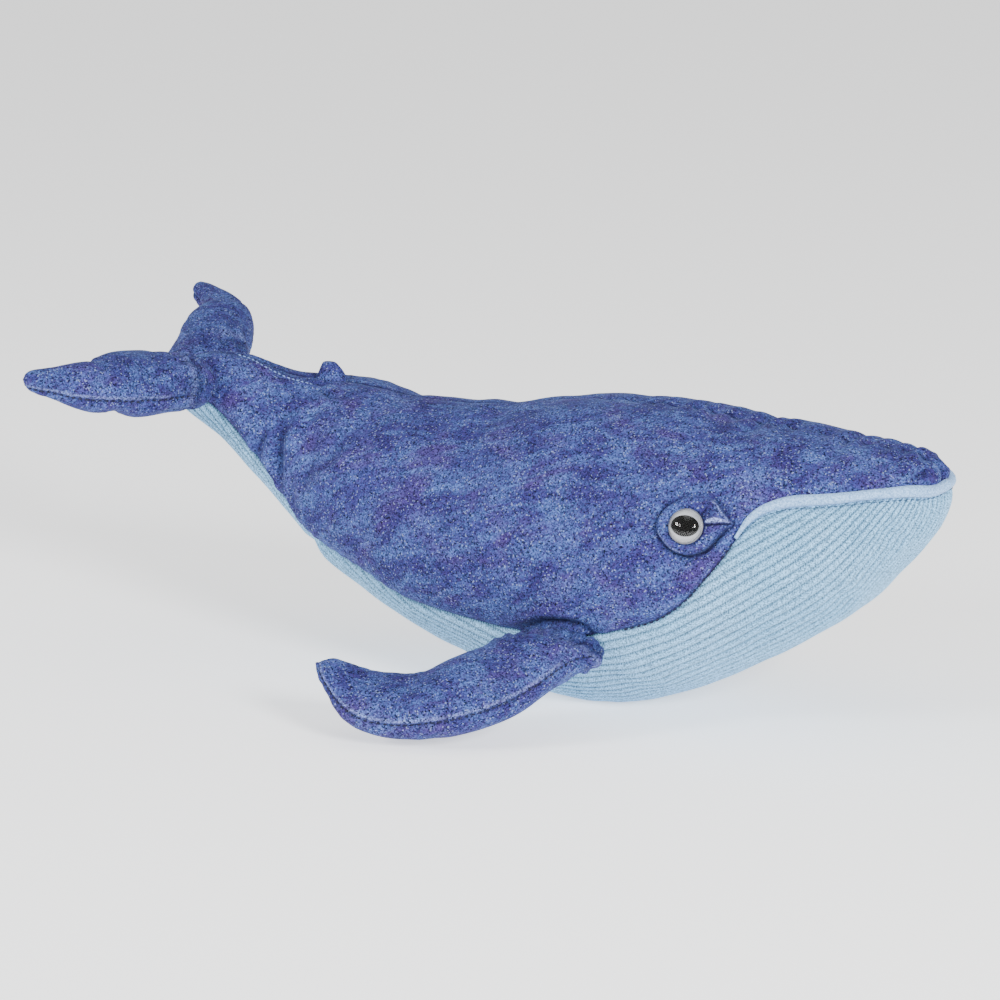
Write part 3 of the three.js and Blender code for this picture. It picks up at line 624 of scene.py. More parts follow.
def cubic(b: np.ndarray, c: np.ndarray, start: np.ndarray, end: np.ndarray, w: np.ndarray) -> np.ndarray:
    """A curve from b to c that leaves and arrives with these slopes, at the share w of its way."""
    return b + start * w + (3 * (c - b) - 2 * start - end) * w**2 + (2 * (b - c) + start + end) * w**3


class Rail:
    """A centripetal Catmull-Rom curve, read at a share of its stations."""

    def __init__(self, stations: np.ndarray) -> None:
        """Keeps the stations, with one more before the first and after the last.

        Args:
            stations: the points that the curve runs through.
        """
        before = 2 * stations[0] - stations[1]
        after = 2 * stations[-1] - stations[-2]
        self.points = np.vstack([before, stations, after])
        self.steps = np.sqrt(np.linalg.norm(np.diff(self.points, axis=0), axis=1))

    def at(self, shares: np.ndarray) -> np.ndarray:
        """Reads the curve.

        Args:
            shares: shares of the stations, of any shape.

        Returns:
            A point for each share.
        """
        spans = len(self.points) - 3
        place = np.clip(shares, 0, 1) * spans
        index = np.minimum(place.astype(int), spans - 1)
        w = (place - index)[..., None]
        a, b, c, d = (self.points[index + k] for k in range(4))
        before, inside, after = (self.steps[index + k][..., None] for k in range(3))
        start = ((b - a) / before - (c - a) / (before + inside) + (c - b) / inside) * inside
        end = ((c - b) / inside - (d - b) / (inside + after) + (d - c) / after) * inside
        return cubic(b, c, start, end, w)


def smooth_share(pairs: tuple) -> Callable[[np.ndarray], np.ndarray]:
    """A smooth function through given pairs of shares.

    Args:
        pairs: the pairs, in rising order.

    Returns:
        The function, for arrays of any shape.
    """
    stations = np.array(pairs, float)
    spans = len(stations) - 1
    place = np.linspace(0, spans, 200 * spans)
    index = np.minimum(place.astype(int), spans - 1)
    w = (place - index)[:, None]
    a = stations[np.maximum(index - 1, 0)]
    b = stations[index]
    c = stations[np.minimum(index + 1, spans)]
    d = stations[np.minimum(index + 2, spans)]
    curve = cubic(b, c, (c - a) / 2, (d - b) / 2, w)
    return lambda wanted: np.interp(wanted, curve[:, 0], curve[:, 1])


def paired(shares: np.ndarray, turns: np.ndarray) -> tuple[np.ndarray, np.ndarray]:
    """Shares and turns as numbers of one shape."""
    return np.broadcast_arrays(np.asarray(shares, float), np.asarray(turns, float))


class Loft:
    """A rounded form through three rails: a first edge, a second edge and the crest between them."""

    def __init__(
        self,
        first: np.ndarray,
        second: np.ndarray,
        crest: np.ndarray,
        out: tuple[float, float, float],
        pose: Optional[Callable[[np.ndarray], np.ndarray]] = None,
    ) -> None:
        """Keeps the three rails.

        Args:
            first: stations of the first edge.
            second: stations of the second edge.
            crest: stations of the crest.
            out: the direction from the edges towards the crest.
            pose: what turns the finished points, if anything.
        """
        self.first = Rail(first)
        self.second = Rail(second)
        self.crest = Rail(crest)
        self.out = np.array(out, float)
        self.pose = pose

    def points(self, shares: np.ndarray, turns: np.ndarray) -> np.ndarray:
        """Points of the form.

        Args:
            shares: shares of the stations.
            turns: turns from the first edge, over the crest to the second edge and back round.

        Returns:
            A point for each share and turn.
        """
        shares, turns = paired(shares, turns)
        first = self.first.at(shares)
        second = self.second.at(shares)
        crest = self.crest.at(shares)
        middle = (first * (1 - CREST_SHARE) + second * CREST_SHARE) @ self.out
        reach = (crest @ self.out - middle)[..., None]
        centre = crest - reach * self.out
        towards = np.where(np.cos(turns)[..., None] > 0, first, second)
        point = centre + (towards - centre) * np.abs(np.cos(turns))[..., None]
        point = point + self.out * reach * np.sin(turns)[..., None]
        return self.pose(point) if self.pose else point

    def normals(self, shares: np.ndarray, turns: np.ndarray) -> np.ndarray:
        """Outward normals of the form.

        Args:
            shares: shares of the stations.
            turns: turns round the form.

        Returns:
            A unit vector for each share and turn.
        """
        shares, turns = paired(shares, turns)
        inside = np.clip(shares, SLOPE_STEP_SHARE, 1 - SLOPE_STEP_SHARE)
        step = SLOPE_STEP_SHARE * FULL_TURN
        along = self.points(inside + SLOPE_STEP_SHARE, turns) - self.points(inside - SLOPE_STEP_SHARE, turns)
        around = self.points(inside, turns + step) - self.points(inside, turns - step)
        normal = np.cross(along, around)
        normal /= np.maximum(np.linalg.norm(normal, axis=-1, keepdims=True), 1e-12)
        outward = self.points(inside, turns) - self.points(inside, turns + HALF_TURN)
        return np.where(np.sum(normal * outward, axis=-1, keepdims=True) < 0, -normal, normal)

    def stepped(self, shares: np.ndarray, turns: np.ndarray, distance: float) -> np.ndarray:
        """Turns that lie a distance further round the form.

        Args:
            shares: shares of the stations.
            turns: turns round the form.
            distance: how far round, negative for back.

        Returns:
            The new turns.
        """
        step = SLOPE_STEP_SHARE * FULL_TURN
        span = self.points(shares, turns + step) - self.points(shares, turns - step)
        return turns + distance * 2 * step / np.linalg.norm(span, axis=-1)


def smoothstep(value: np.ndarray, low: float, high: float) -> np.ndarray:
    """Rises smoothly from 0 at low to 1 at high."""
    share = np.clip((value - low) / (high - low), 0, 1)
    return share * share * (3 - 2 * share)


def bell(value: np.ndarray, width: float, power: float = 2) -> np.ndarray:
    """Falls smoothly on both sides of zero, from 1 to 1/e at the width."""
    return np.exp(-((value / width) ** power))


def end_fade(shares: np.ndarray, first: float, last: float) -> np.ndarray:
    """Is 1 between the ends, and falls to 0 over these shares at the first end and the last."""
    return smoothstep(shares, 0, first) * smoothstep(1 - shares, 0, last)


def on_side(turns: np.ndarray, side: Side) -> np.ndarray:
    """Turns round the body's right side, or the same places on its left."""
    return turns if side is Side.RIGHT else FULL_TURN - turns


def ring_turns(count: int) -> np.ndarray:
    """Even turns round a closed ring."""
    return np.linspace(0, FULL_TURN, count, endpoint=False)


def swell(points: np.ndarray, wavelength: float, seed: int, waves: int = 12) -> np.ndarray:
    """A smooth random field, as loose filling makes under cloth.

    Args:
        points: where it is read.
        wavelength: its typical wavelength.
        seed: which field.
        waves: how many plane waves it is the sum of.

    Returns:
        A value for each point, mostly within 1 of zero.
    """
    random = np.random.default_rng(seed)
    directions = random.normal(size=(waves, 3))
    directions /= np.linalg.norm(directions, axis=1, keepdims=True)
    lengths = wavelength * random.uniform(0.75, 1.5, waves)
    phases = random.uniform(0, FULL_TURN, waves)
    total = np.zeros(points.shape[:-1])
    for direction, length, phase in zip(directions, lengths, phases):
        total += np.sin(points @ direction * FULL_TURN / length + phase)
    return total / math.sqrt(waves)


def run_lengths(points: np.ndarray, axis: int) -> np.ndarray:
    """Distance run along an axis of a grid of points, from its first line.

    Args:
        points: the grid.
        axis: the axis to run along.

    Returns:
        A distance for each point.
    """
    steps = np.linalg.norm(np.diff(points, axis=axis), axis=-1)
    start = np.zeros_like(np.take(steps, [0], axis=axis))
    return np.concatenate([start, np.cumsum(steps, axis=axis)], axis=axis)


def eased_shares(rows: int, ease_share: float = 0.5) -> np.ndarray:
    """Shares from 0 to 1 that lie closer together towards both ends."""
    even = np.linspace(0, 1, rows + 1)
    return even - ease_share * np.sin(FULL_TURN * even) / FULL_TURN


def linked(name: str, data: ID) -> Object:
    """Makes an object and links it to the scene.

    Args:
        name: its name.
        data: its mesh, light or camera.

    Returns:
        The object.
    """
    made = bpy.data.objects.new(name, data)
    bpy.context.scene.collection.objects.link(made)
    return made


def grid_object(
    name: str,
    points: np.ndarray,
    outward: np.ndarray,
    closed: bool = False,
    uv: Optional[np.ndarray] = None,
    values: Optional[dict[str, np.ndarray]] = None,
) -> Object:
    """Makes a mesh object from a grid of points.

    Args:
        name: the piece's name.
        points: rows by columns by 3.
        outward: which way the surface faces, for each point.
        closed: whether the last column joins the first.
        uv: rows by columns by 2, the cloth's own coordinates.
        values: named numbers, rows by columns each.

    Returns:
        The object, with doubles merged, smooth and linked to the scene.
    """
    rows, columns = points.shape[:2]
    index = np.arange(rows * columns).reshape(rows, columns)
    right = np.roll(index, -1, axis=1) if closed else index[:, 1:]
    left = index if closed else index[:, :-1]
    quads = np.stack([left[:-1], right[:-1], right[1:], left[1:]], axis=-1).reshape(-1, 4)
    flat = points.reshape(-1, 3)
    across = np.cross(flat[quads[:, 2]] - flat[quads[:, 0]], flat[quads[:, 3]] - flat[quads[:, 1]])
    if np.sum(across * outward.reshape(-1, 3)[quads[:, 0]]) < 0:
        quads = quads[:, ::-1]
    mesh = bpy.data.meshes.new(name)
    mesh.from_pydata(flat.tolist(), [], quads.tolist())
    if uv is not None:
        layer = mesh.uv_layers.new(name="cloth")
        layer.data.foreach_set("uv", uv.reshape(-1, 2)[quads.ravel()].astype(np.float32).ravel())
    for key, value in (values or {}).items():
        attribute = mesh.attributes.new(key, "FLOAT", "POINT")
        attribute.data.foreach_set("value", value.astype(np.float32).ravel())
    shape = bmesh.new()
    shape.from_mesh(mesh)
    bmesh.ops.remove_doubles(shape, verts=shape.verts, dist=0.002 * MM)
    bmesh.ops.dissolve_degenerate(shape, dist=0.001 * MM, edges=shape.edges)
    shape.to_mesh(mesh)
    shape.free()
    mesh.shade_smooth()
    return linked(name, mesh)


def thicken(piece: Object, thickness: float) -> None:
    """Gives a cover its cloth's thickness, inwards.

    Args:
        piece: the cover.
        thickness: how thick its cloth is.
    """
    wall = piece.modifiers.new("cloth_thickness", "SOLIDIFY")
    wall.thickness = thickness
    wall.offset = -1.0


def dress(piece: Object, material: Material) -> None:
    """Gives a piece its only material.

    Args:
        piece: the piece.
        material: its finish.
    """
    piece.data.materials.clear()
    piece.data.materials.append(material)


@dataclass
class Filling:
    """Stuffs a sewn skin in a cloth simulation: held at its seams, it is blown up from inside.

    The skin is a coarse grid, closed round its columns and with one point at each end. It starts a little
    smaller, because it swells, and is simulated larger than life, because the solver is made for large cloth.
    """

    name: str
    points: np.ndarray
    normals: np.ndarray
    held: np.ndarray
    slack: float = 0.012
    pressure: float = 4.0
    vertex_mass: float = 0.3
    stiffness: float = 12.0
    bending: float = 2.0
    frames: int = 20
    solver_steps: int = 6
    life_scale: float = 10.0
    start_inset: float = 0.5 * MM
    least_move: float = 0.05 * MM
    greatest_move: float = 1.3 * MM

    def __post_init__(self) -> None:
        self.moves = self.simulate()

    def simulate(self) -> np.ndarray:
        """Blows the skin up.

        Returns:
            How far each point moves, capped.
        """
        rows, columns = self.points.shape[:2]
        smaller = self.points - self.normals * (self.start_inset * (1 - self.held))[..., None]
        flat = np.vstack([smaller[:1, 0], smaller[1:-1].reshape(-1, 3), smaller[-1:, 0]]) * self.life_scale
        last = len(flat) - 1
        index = 1 + np.arange((rows - 2) * columns).reshape(rows - 2, columns)
        index = np.vstack([np.zeros((1, columns), int), index, np.full((1, columns), last)])
        right = np.roll(index, -1, axis=1)
        quads = np.stack([index[:-1], right[:-1], right[1:], index[1:]], axis=-1).reshape(-1, 4)
        corners = flat[quads]
        volume = np.sum(np.cross(corners[:, 0], corners[:, 1]) * corners[:, 2])
        volume += np.sum(np.cross(corners[:, 0], corners[:, 2]) * corners[:, 3])
        if volume < 0:
            quads = quads[:, ::-1]
        mesh = bpy.data.meshes.new(self.name)
        mesh.from_pydata(flat.tolist(), [], [list(dict.fromkeys(quad)) for quad in quads.tolist()])
        skin = linked(self.name, mesh)
        group = skin.vertex_groups.new(name="held")
        weights = np.zeros(len(flat))
        weights[index] = self.held
        for i, weight in enumerate(weights):
            group.add([i], float(weight), "REPLACE")
        cloth = skin.modifiers.new("stuffing", "CLOTH")
        settings = cloth.settings
        settings.quality = self.solver_steps
        settings.mass = self.vertex_mass
        settings.tension_stiffness = settings.compression_stiffness = self.stiffness
        settings.shear_stiffness = self.stiffness / 2
        settings.bending_stiffness = self.bending
        settings.shrink_min = -self.slack
        settings.use_pressure = True
        settings.uniform_pressure_force = self.pressure
        settings.vertex_group_mass = "held"
        settings.effector_weights.gravity = 0.0
        cloth.collision_settings.use_collision = False
        cloth.point_cache.frame_start = 1
        cloth.point_cache.frame_end = self.frames
        scene = bpy.context.scene
        for frame_number in range(1, self.frames + 1):
            scene.frame_set(frame_number)
        graph = bpy.context.evaluated_depsgraph_get()
        ended = np.empty(len(flat) * 3)
        skin.evaluated_get(graph).data.vertices.foreach_get("co", ended)
        scene.frame_set(1)
        bpy.data.objects.remove(skin)
        swollen = np.linalg.norm(ended.reshape(-1, 3) - flat, axis=1) / self.life_scale
        if not self.least_move < swollen.max():
            raise RuntimeError(f"{self.name}: the simulation did not move the skin")
        moves = ended.reshape(-1, 3)[index] / self.life_scale - self.points
        outward = np.sum(moves * self.normals, axis=-1)
        size = np.linalg.norm(moves, axis=-1, keepdims=True)
        told = [value / MM for value in (swollen.max(), -outward.min(), outward.max(), outward.mean())]
        LOG.info("%s: swells %.2f mm at most; skin %.2f in to %.2f mm out, %.2f on average", self.name, *told)
        LOG.info("%s: share of points over the cap %.3f", self.name, (size > self.greatest_move).mean())
        return moves * np.minimum(1, self.greatest_move / np.maximum(size, 1e-9))

    def at(self, rows: np.ndarray, columns: np.ndarray) -> np.ndarray:
        """Reads the moves between the grid's points.

        Args:
            rows: places along the grid's rows.
            columns: places round its columns, which are closed.

        Returns:
            A move for each place.
        """
        rows, columns = np.broadcast_arrays(rows, columns)
        last, around = self.moves.shape[0] - 1, self.moves.shape[1]
        low = np.clip(rows.astype(int), 0, last - 1)
        left = np.floor(columns).astype(int)
        up = (rows - low)[..., None]
        across = (columns - left)[..., None]
        a, b = self.moves[low, left % around], self.moves[low, (left + 1) % around]
        c, d = self.moves[low + 1, left % around], self.moves[low + 1, (left + 1) % around]
        up = up * up * (3 - 2 * up)
        across = across * across * (3 - 2 * across)
        return (a * (1 - across) + b * across) * (1 - up) + (c * (1 - across) + d * across) * up


@dataclass(frozen=True)
class SeamPull:
    """What a sewn seam does to the cloth beside it: a drawn-in valley with puckers between the stitches."""

    depth: float
    width: float
    pucker_depth: float = 0.0
    pucker_pitch: float = 8 * MM
    pucker_reach: float = 6 * MM
    darkness: float = 0.6

    def shade(self, away: np.ndarray) -> np.ndarray:
        """How much shade is painted into the cloth beside the seam."""
        return self.darkness * bell(away, 0.4 * self.width)

    def relief(self, away: np.ndarray, along: np.ndarray, seed: int) -> np.ndarray:
        """How far the cloth is moved out.

        Args:
            away: distance from the seam.
            along: distance along the seam.
            seed: which puckers.

        Returns:
            An offset for each point.
        """
        valley = -self.depth * bell(away, self.width, 1.2)
        random = np.random.default_rng(seed)
        waver = 0
        for stretch in (3.1, 4.7, 7.3):
            size, phase = random.uniform(0.4, 0.9), random.uniform(0, 6)
            waver = waver + size * np.sin(along * FULL_TURN / (self.pucker_pitch * stretch) + phase)
        lift = 1 - 2 * np.abs(np.sin(along * HALF_TURN / self.pucker_pitch + waver / 2)) ** 1.5
        fade = bell(away, self.pucker_reach, 1.5) * (1 - np.exp(-away / (0.6 * self.width)))
        return valley - self.pucker_depth * lift * fade


@dataclass(frozen=True)
class Crease:
    """A fold in the body's side, along places given as shares of the stations and of the half turn."""

    spots: tuple[tuple[float, float], ...]
    depth: float
    width: float
    darkness: float = 0.5

    def press(self, body: "WhaleBody", points: np.ndarray, side: Side) -> tuple[np.ndarray, np.ndarray]:
        """What the fold does to the cloth.

        Args:
            body: the body that it lies on.
            points: where it is read.
            side: the side that it lies on.

        Returns:
            How far the cloth is moved out, and how much shade is painted in its groove.
        """
        spots = np.array(self.spots)
        count = 6 * (len(spots) - 1) + 1
        steps = np.linspace(0, len(spots) - 1, count)
        shares = np.interp(steps, np.arange(len(spots)), spots[:, 0])
        turns = np.interp(steps, np.arange(len(spots)), spots[:, 1]) * HALF_TURN
        line = body.loft.points(shares, on_side(turns, side))
        nearest = np.full(points.shape[:-1], np.inf)
        place = np.zeros(points.shape[:-1])
        for k, (a, b) in enumerate(zip(line[:-1], line[1:])):
            run = b - a
            t = np.clip(((points - a) @ run) / (run @ run), 0, 1)
            gap = np.linalg.norm(points - (a + t[..., None] * run), axis=-1)
            closer = gap < nearest
            nearest = np.where(closer, gap, nearest)
            place = np.where(closer, (k + t) / (count - 1), place)
        fade = np.sqrt(np.clip(np.sin(np.clip(place, 0.02, 0.98) * HALF_TURN), 0, 1))
        groove = bell(nearest, self.width)
        ridge = bell(nearest - 2.1 * self.width, self.width)
        # Painted shade along the groove.
        dark = self.darkness * fade * bell(nearest, 0.7 * self.width)
        return self.depth * fade * (0.6 * ridge - groove), dark


@dataclass
class WhaleBody:
    """The stuffed body: its loft, its seams and the covers sewn round it."""

    length: float = 307 * MM
    height: float = 110.5 * MM
    width: float = 106 * MM
    tail_reach: float = 186 * MM
    rest_flat_depth: float = 0.5 * MM
    tail_turn: float = 11.0
    tail_roll: float = 2.0
    tail_turn_start: float = 112 * MM
    tail_turn_run: float = 44 * MM
    tail_axis_share: float = 0.85
    mouth_corner_share: float = 0.708
    rows: int = 330
    side_columns: int = 120
    skin_rows: int = 76
    skin_columns: int = 20
    tail_hold: float = 0.85
    tail_hold_shares: tuple[float, float] = (0.22, 0.38)
    washer_hold: tuple[float, float] = (14 * MM, 24 * MM)
    cloth: float = 1.4 * MM
    end_share: float = 0.03
    rib_pitch: float = 3.5 * MM
    rib_height: float = 0.75 * MM
    rib_phases: tuple[float, ...] = (0.0, 0.09, 0.28, 0.5, 0.72, 0.91)
    rib_closing: float = 0.45
    belly_rows: int = 300
    edge_line_width: float = 0.55 * MM
    kink_places: tuple[tuple[float, float, float, float, float, float], ...] = (
        (0.6, 30 * MM, 0.035, 16 * MM, 0.06, 1.5 * MM),
        (0.79, 24 * MM, 0.02, 8 * MM, 0.04, 1.1 * MM),
    )
    back_seam: SeamPull = SeamPull(1.5 * MM, 2.4 * MM, 1.25 * MM, 8.2 * MM, 8 * MM)
    side_seam: SeamPull = SeamPull(1.6 * MM, 2.2 * MM, 0.45 * MM, 6.5 * MM, 6 * MM)
    belly_seam: SeamPull = SeamPull(1.6 * MM, 1.8 * MM, 0.2 * MM, 6.5 * MM, 5 * MM)
    mouth_seam: SeamPull = SeamPull(2.2 * MM, 2.4 * MM)
    lump_depth: float = 0.55 * MM
    lump_size: float = 42 * MM
    creases: tuple[Crease, ...] = (
        Crease(((0.262, 0.29), (0.257, 0.444), (0.263, 0.534), (0.268, 0.614)), 2.2 * MM, 2.4 * MM, 0.6),
        Crease(((0.24, 0.41), (0.226, 0.546), (0.222, 0.644)), 1.6 * MM, 2.1 * MM, 0.5),
        Crease(((0.325, 0.363), (0.313, 0.494)), 1.0 * MM, 2.4 * MM, 0.35),
        Crease(((0.352, 0.22), (0.341, 0.356), (0.318, 0.49)), 1.4 * MM, 2.8 * MM, 0.4),
        Crease(((0.264, 0.088), (0.284, 0.085)), 0.9 * MM, 1.1 * MM, 0.6),
        Crease(((0.276, 0.12), (0.303, 0.155), (0.322, 0.125)), 1.1 * MM, 1.4 * MM, 0.6),
        Crease(((0.505, 0.64), (0.533, 0.594), (0.55, 0.59), (0.57, 0.6)), 1.8 * MM, 1.7 * MM, 0.85),
        Crease(((0.556, 0.575), (0.583, 0.645)), 0.8 * MM, 1.2 * MM, 0.5),
        Crease(((0.9, 0.3), (0.938, 0.163)), 1.2 * MM, 1.6 * MM, 0.45),
    )

    def __post_init__(self) -> None:
        """Makes the loft and the seam's function."""
        stations = np.array(BODY_STATION_SHARES, float)
        along = stations[:, (0, 2, 4)] * self.length - self.tail_reach
        out = np.zeros(along.shape)
        out[:, 2] = -stations[:, 5] * self.width / 2
        up = stations[:, (1, 3, 6)] * self.height - self.rest_flat_depth
        first, second, crest = np.moveaxis(np.stack([along, out, up], axis=-1), 1, 0)
        self.loft = Loft(first, second, crest, (0, -1, 0), self.turn_tail)
        self.seam_share = smooth_share(SEAM_SHARES)

    def turn_tail(self, points: np.ndarray) -> np.ndarray:
        """Turns and rolls the tail to the whale's right.

        Args:
            points: points of the straight body.

        Returns:
            The points where the tail lies.
        """
        pivot = np.array([-self.tail_turn_start, 0, self.height * self.tail_axis_share])
        amount = smoothstep((-self.tail_turn_start - points[..., 0]) / self.tail_turn_run, 0, 1)
        turn = math.radians(self.tail_turn) * amount
        roll = math.radians(self.tail_roll) * amount
        x, y, z = np.moveaxis(points - pivot, -1, 0)
        y, z = y * np.cos(roll) - z * np.sin(roll), y * np.sin(roll) + z * np.cos(roll)
        x, y = x * np.cos(turn) - y * np.sin(turn), x * np.sin(turn) + y * np.cos(turn)
        return np.stack([x, y, z], axis=-1) + pivot

    def seam_turn(self, shares: np.ndarray) -> np.ndarray:
        """The turn of the side seam at a share of the stations."""
        return self.seam_share(shares) * HALF_TURN

    def in_mouth(self, shares: np.ndarray) -> np.ndarray:
        """How much a place on the seam belongs to the mouth: 0 behind its corner, 1 in front."""
        return smoothstep(shares, self.mouth_corner_share - 0.02, self.mouth_corner_share + 0.01)

    def fill(self, eyes: list["SafetyEye"]) -> None:
        """Stuffs the body's skin, held at its seams and round the eyes.

        Args:
            eyes: the eyes, whose washers hold the skin.
        """
        shares = eased_shares(self.skin_rows)[:, None]
        seam = self.seam_turn(shares)
        down = seam * np.linspace(0, 1, self.skin_columns + 1)[None, :]
        under = seam + (FULL_TURN - 2 * seam) * np.linspace(0, 1, self.skin_columns + 1)[None, 1:]
        turns = np.concatenate([down, under, FULL_TURN - down[:, -2:0:-1]], axis=1)
        points = self.loft.points(shares, turns)
        column = np.arange(turns.shape[1])[None, :] % self.skin_columns
        held = (column == 0) * np.ones(turns.shape)
        held[:2] = held[-2:] = 1.0
        held = np.maximum(held, self.tail_hold * (1 - smoothstep(shares, *self.tail_hold_shares)))
        for eye in eyes:
            gap = np.linalg.norm(points - eye.skin, axis=-1)
            held = np.maximum(held, 1 - smoothstep(gap, *self.washer_hold))
        self.filling = Filling("body_skin", points, self.loft.normals(shares, turns), held)
        self.skin_shares = shares[:, 0]

    def moves(self, shares: np.ndarray, turns: np.ndarray) -> np.ndarray:
        """How far the filling moves the skin.

        Args:
            shares: shares of the stations.
            turns: turns round the body.

        Returns:
            A move for each place.
        """
        shares, turns = paired(shares, turns)
        seam = self.seam_turn(shares)
        rows = np.interp(shares, self.skin_shares, np.arange(len(self.skin_shares)))
        down = np.minimum(turns, seam) / seam
        under = np.clip((turns - seam) / (FULL_TURN - 2 * seam), 0, 1)
        back_up = np.clip((turns - FULL_TURN + seam) / seam, 0, 1)
        return self.filling.at(rows, (down + under + back_up) * self.skin_columns)

    def lumps(self, points: np.ndarray) -> np.ndarray:
        """The uneven swell of the filling.

        Args:
            points: places on the body.

        Returns:
            An offset for each point.
        """
        coarse = swell(points, self.lump_size, 5)
        fine = swell(points, self.lump_size / 2.6, 8)
        return self.lump_depth * (coarse + 0.35 * fine)

    def seam_relief(
        self, shares: np.ndarray, away: np.ndarray, along: np.ndarray, pull: SeamPull
    ) -> np.ndarray:
        """The pull of the side seam, which becomes the mouth's pull in front of its corner."""
        mouth = self.in_mouth(shares)
        return (1 - mouth) * pull.relief(away, along, 21) + mouth * self.mouth_seam.relief(away, along, 22)

    def side_cover(self, side: Side, eye: "SafetyEye", material: Material) -> Object:
        """Makes the plush cover of one side.

        Args:
            side: which side.
            eye: the eye on that side, whose patch is sewn into the cover.
            material: its finish.

        Returns:
            The cover.
        """
        shares = eased_shares(self.rows)[:, None]
        seam = self.seam_turn(shares)
        turns = on_side(seam * eased_shares(self.side_columns, 0.35)[None, :], side)
        plain = self.loft.points(shares, turns)
        normals = self.loft.normals(shares, turns)
        away = run_lengths(plain, 1)
        along = run_lengths(plain, 0)
        below = away[:, -1:] - away
        head = smoothstep(shares, 0.5, 0.62)
        pull = self.back_seam.relief(away, along[:, :1], 31)
        calm = SeamPull(self.back_seam.depth * 0.7, self.back_seam.width).relief(away, along[:, :1], 31)
        offset = head * pull + (1 - head) * calm
        offset = offset + self.seam_relief(shares, below, along[:, -1:], self.side_seam)
        offset = offset + self.lumps(plain)
        # Painted shade beside the seams, in the creases and in the groove round the eye's patch.
        fold = np.maximum(self.back_seam.shade(away), self.side_seam.shade(below))
        presses = [crease.press(self, plain, side) for crease in self.creases]
        for moved, dark in presses + [eye.press(plain)]:
            offset = offset + moved
            fold = np.maximum(fold, dark)
        offset = offset * end_fade(shares, self.end_share, self.end_share)
        points = plain + normals * offset[..., None] + self.moves(shares, turns)
        uv = np.stack([away, along], axis=-1)
        piece = grid_object(f"side_cover_{side.word}", points, normals, uv=uv, values={"fold": fold})
        thicken(piece, self.cloth)
        dress(piece, material)
        return piece

    def belly_cover(self, material: Material) -> Object:
        """Makes the ribbed cover of the throat and belly, its ribs at even distances from the middle line.

        Args:
            material: its finish.

        Returns:
            The cover.
        """
        shares = eased_shares(self.belly_rows)[:, None]
        seam = self.seam_turn(shares)
        fine = np.linspace(0, 1, 401)[None, :]
        half = HALF_TURN + (seam - HALF_TURN) * fine
        run = run_lengths(self.loft.points(shares, half), 1)
        run = run * (1 + self.rib_closing * smoothstep(shares, 0.7, 1.0))
        widest = run[:, -1].max()
        columns_a_rib = len(self.rib_phases)
        steps = np.arange(int(math.ceil(widest / self.rib_pitch)) * columns_a_rib + 1)
        phases = np.array(self.rib_phases)[steps % columns_a_rib]
        spots = (steps // columns_a_rib + phases) * self.rib_pitch
        sides = []
        for sign in (-1, 1):
            reach = np.empty((len(shares), len(spots)))
            for i, distances in enumerate(run):
                kinks = self.rib_kinks(shares[i], spots, distances[-1])
                reach[i] = np.interp(spots + kinks, distances, half[i])
            sides.append(reach if sign < 0 else FULL_TURN - reach)
        turns = np.concatenate([sides[0][:, ::-1], sides[1][:, 1:]], axis=1)
        signed = np.concatenate([-spots[::-1], spots[1:]])[None, :]
        height = np.abs(np.sin(signed / self.rib_pitch * HALF_TURN)) ** 0.55
        plain = self.loft.points(shares, turns)
        normals = self.loft.normals(shares, turns)
        along = run_lengths(plain, 0)
        across = np.minimum(np.abs(signed), run[:, -1:])
        away = run[:, -1:] - across
        offset = (height - 1) * self.rib_height * smoothstep(run[:, -1:], 3 * MM, 12 * MM)
        offset = offset + self.seam_relief(shares, away, along[:, :1], self.belly_seam)
        offset = offset + self.lumps(plain)
        offset = offset * end_fade(shares, self.end_share, self.end_share)
        points = plain + normals * offset[..., None] + self.moves(shares, turns)
        points[..., 2] = np.maximum(points[..., 2], 0.02 * MM)
        uv = np.stack([np.sign(signed) * across, along], axis=-1)
        # Painted shade mask: the rib grooves, and a thin line beside the seam.
        groove = np.maximum(smoothstep(1 - height, 0.15, 0.8), bell(away, self.edge_line_width))
        piece = grid_object("belly_cover", points, normals, uv=uv, values={"groove": groove})
        thicken(piece, self.cloth)
        dress(piece, material)
        return piece

    def rib_kinks(self, share: float, spots: np.ndarray, reach: float) -> np.ndarray:
        """How far the ribs waver sideways behind the flipper's root and under the chin, where they gather.

        Args:
            share: share of the stations.
            spots: distances of the ribs from the middle line.
            reach: distance of the seam from the middle line.

        Returns:
            A shift for each rib.
        """
        kinks = np.zeros_like(spots)
        for place, out, spread, reach_out, pitch, size in self.kink_places:
            near = np.exp(-(((share - place) / spread) ** 2) - ((spots - out) / reach_out) ** 2)
            wave = np.sin((share - place) * FULL_TURN / pitch + spots / (9 * MM))
            kinks = kinks + size * near * wave * smoothstep(reach - spots, 0, 12 * MM)
        return kinks * smoothstep(spots, 2 * MM, 14 * MM)

    def seam_path(
        self, start: float, end: float, side: Side, away: float, out: float, count: int
    ) -> np.ndarray:
        """A path beside the side seam.

        Args:
            start: share of the stations where it starts.
            end: share of the stations where it ends.
            side: which side.
            away: how far above the seam it runs, negative for below.
            out: how far it stands off the plain skin.
            count: how many points it has.

        Returns:
            The path's points.
        """
        shares = np.linspace(start, end, count)
        turns = on_side(self.loft.stepped(shares, self.seam_turn(shares), -away), side)
        plain = self.loft.points(shares, turns)
        moved = plain + self.moves(shares, turns)
        return moved + self.loft.normals(shares, turns) * (self.lumps(plain) + out)[:, None]

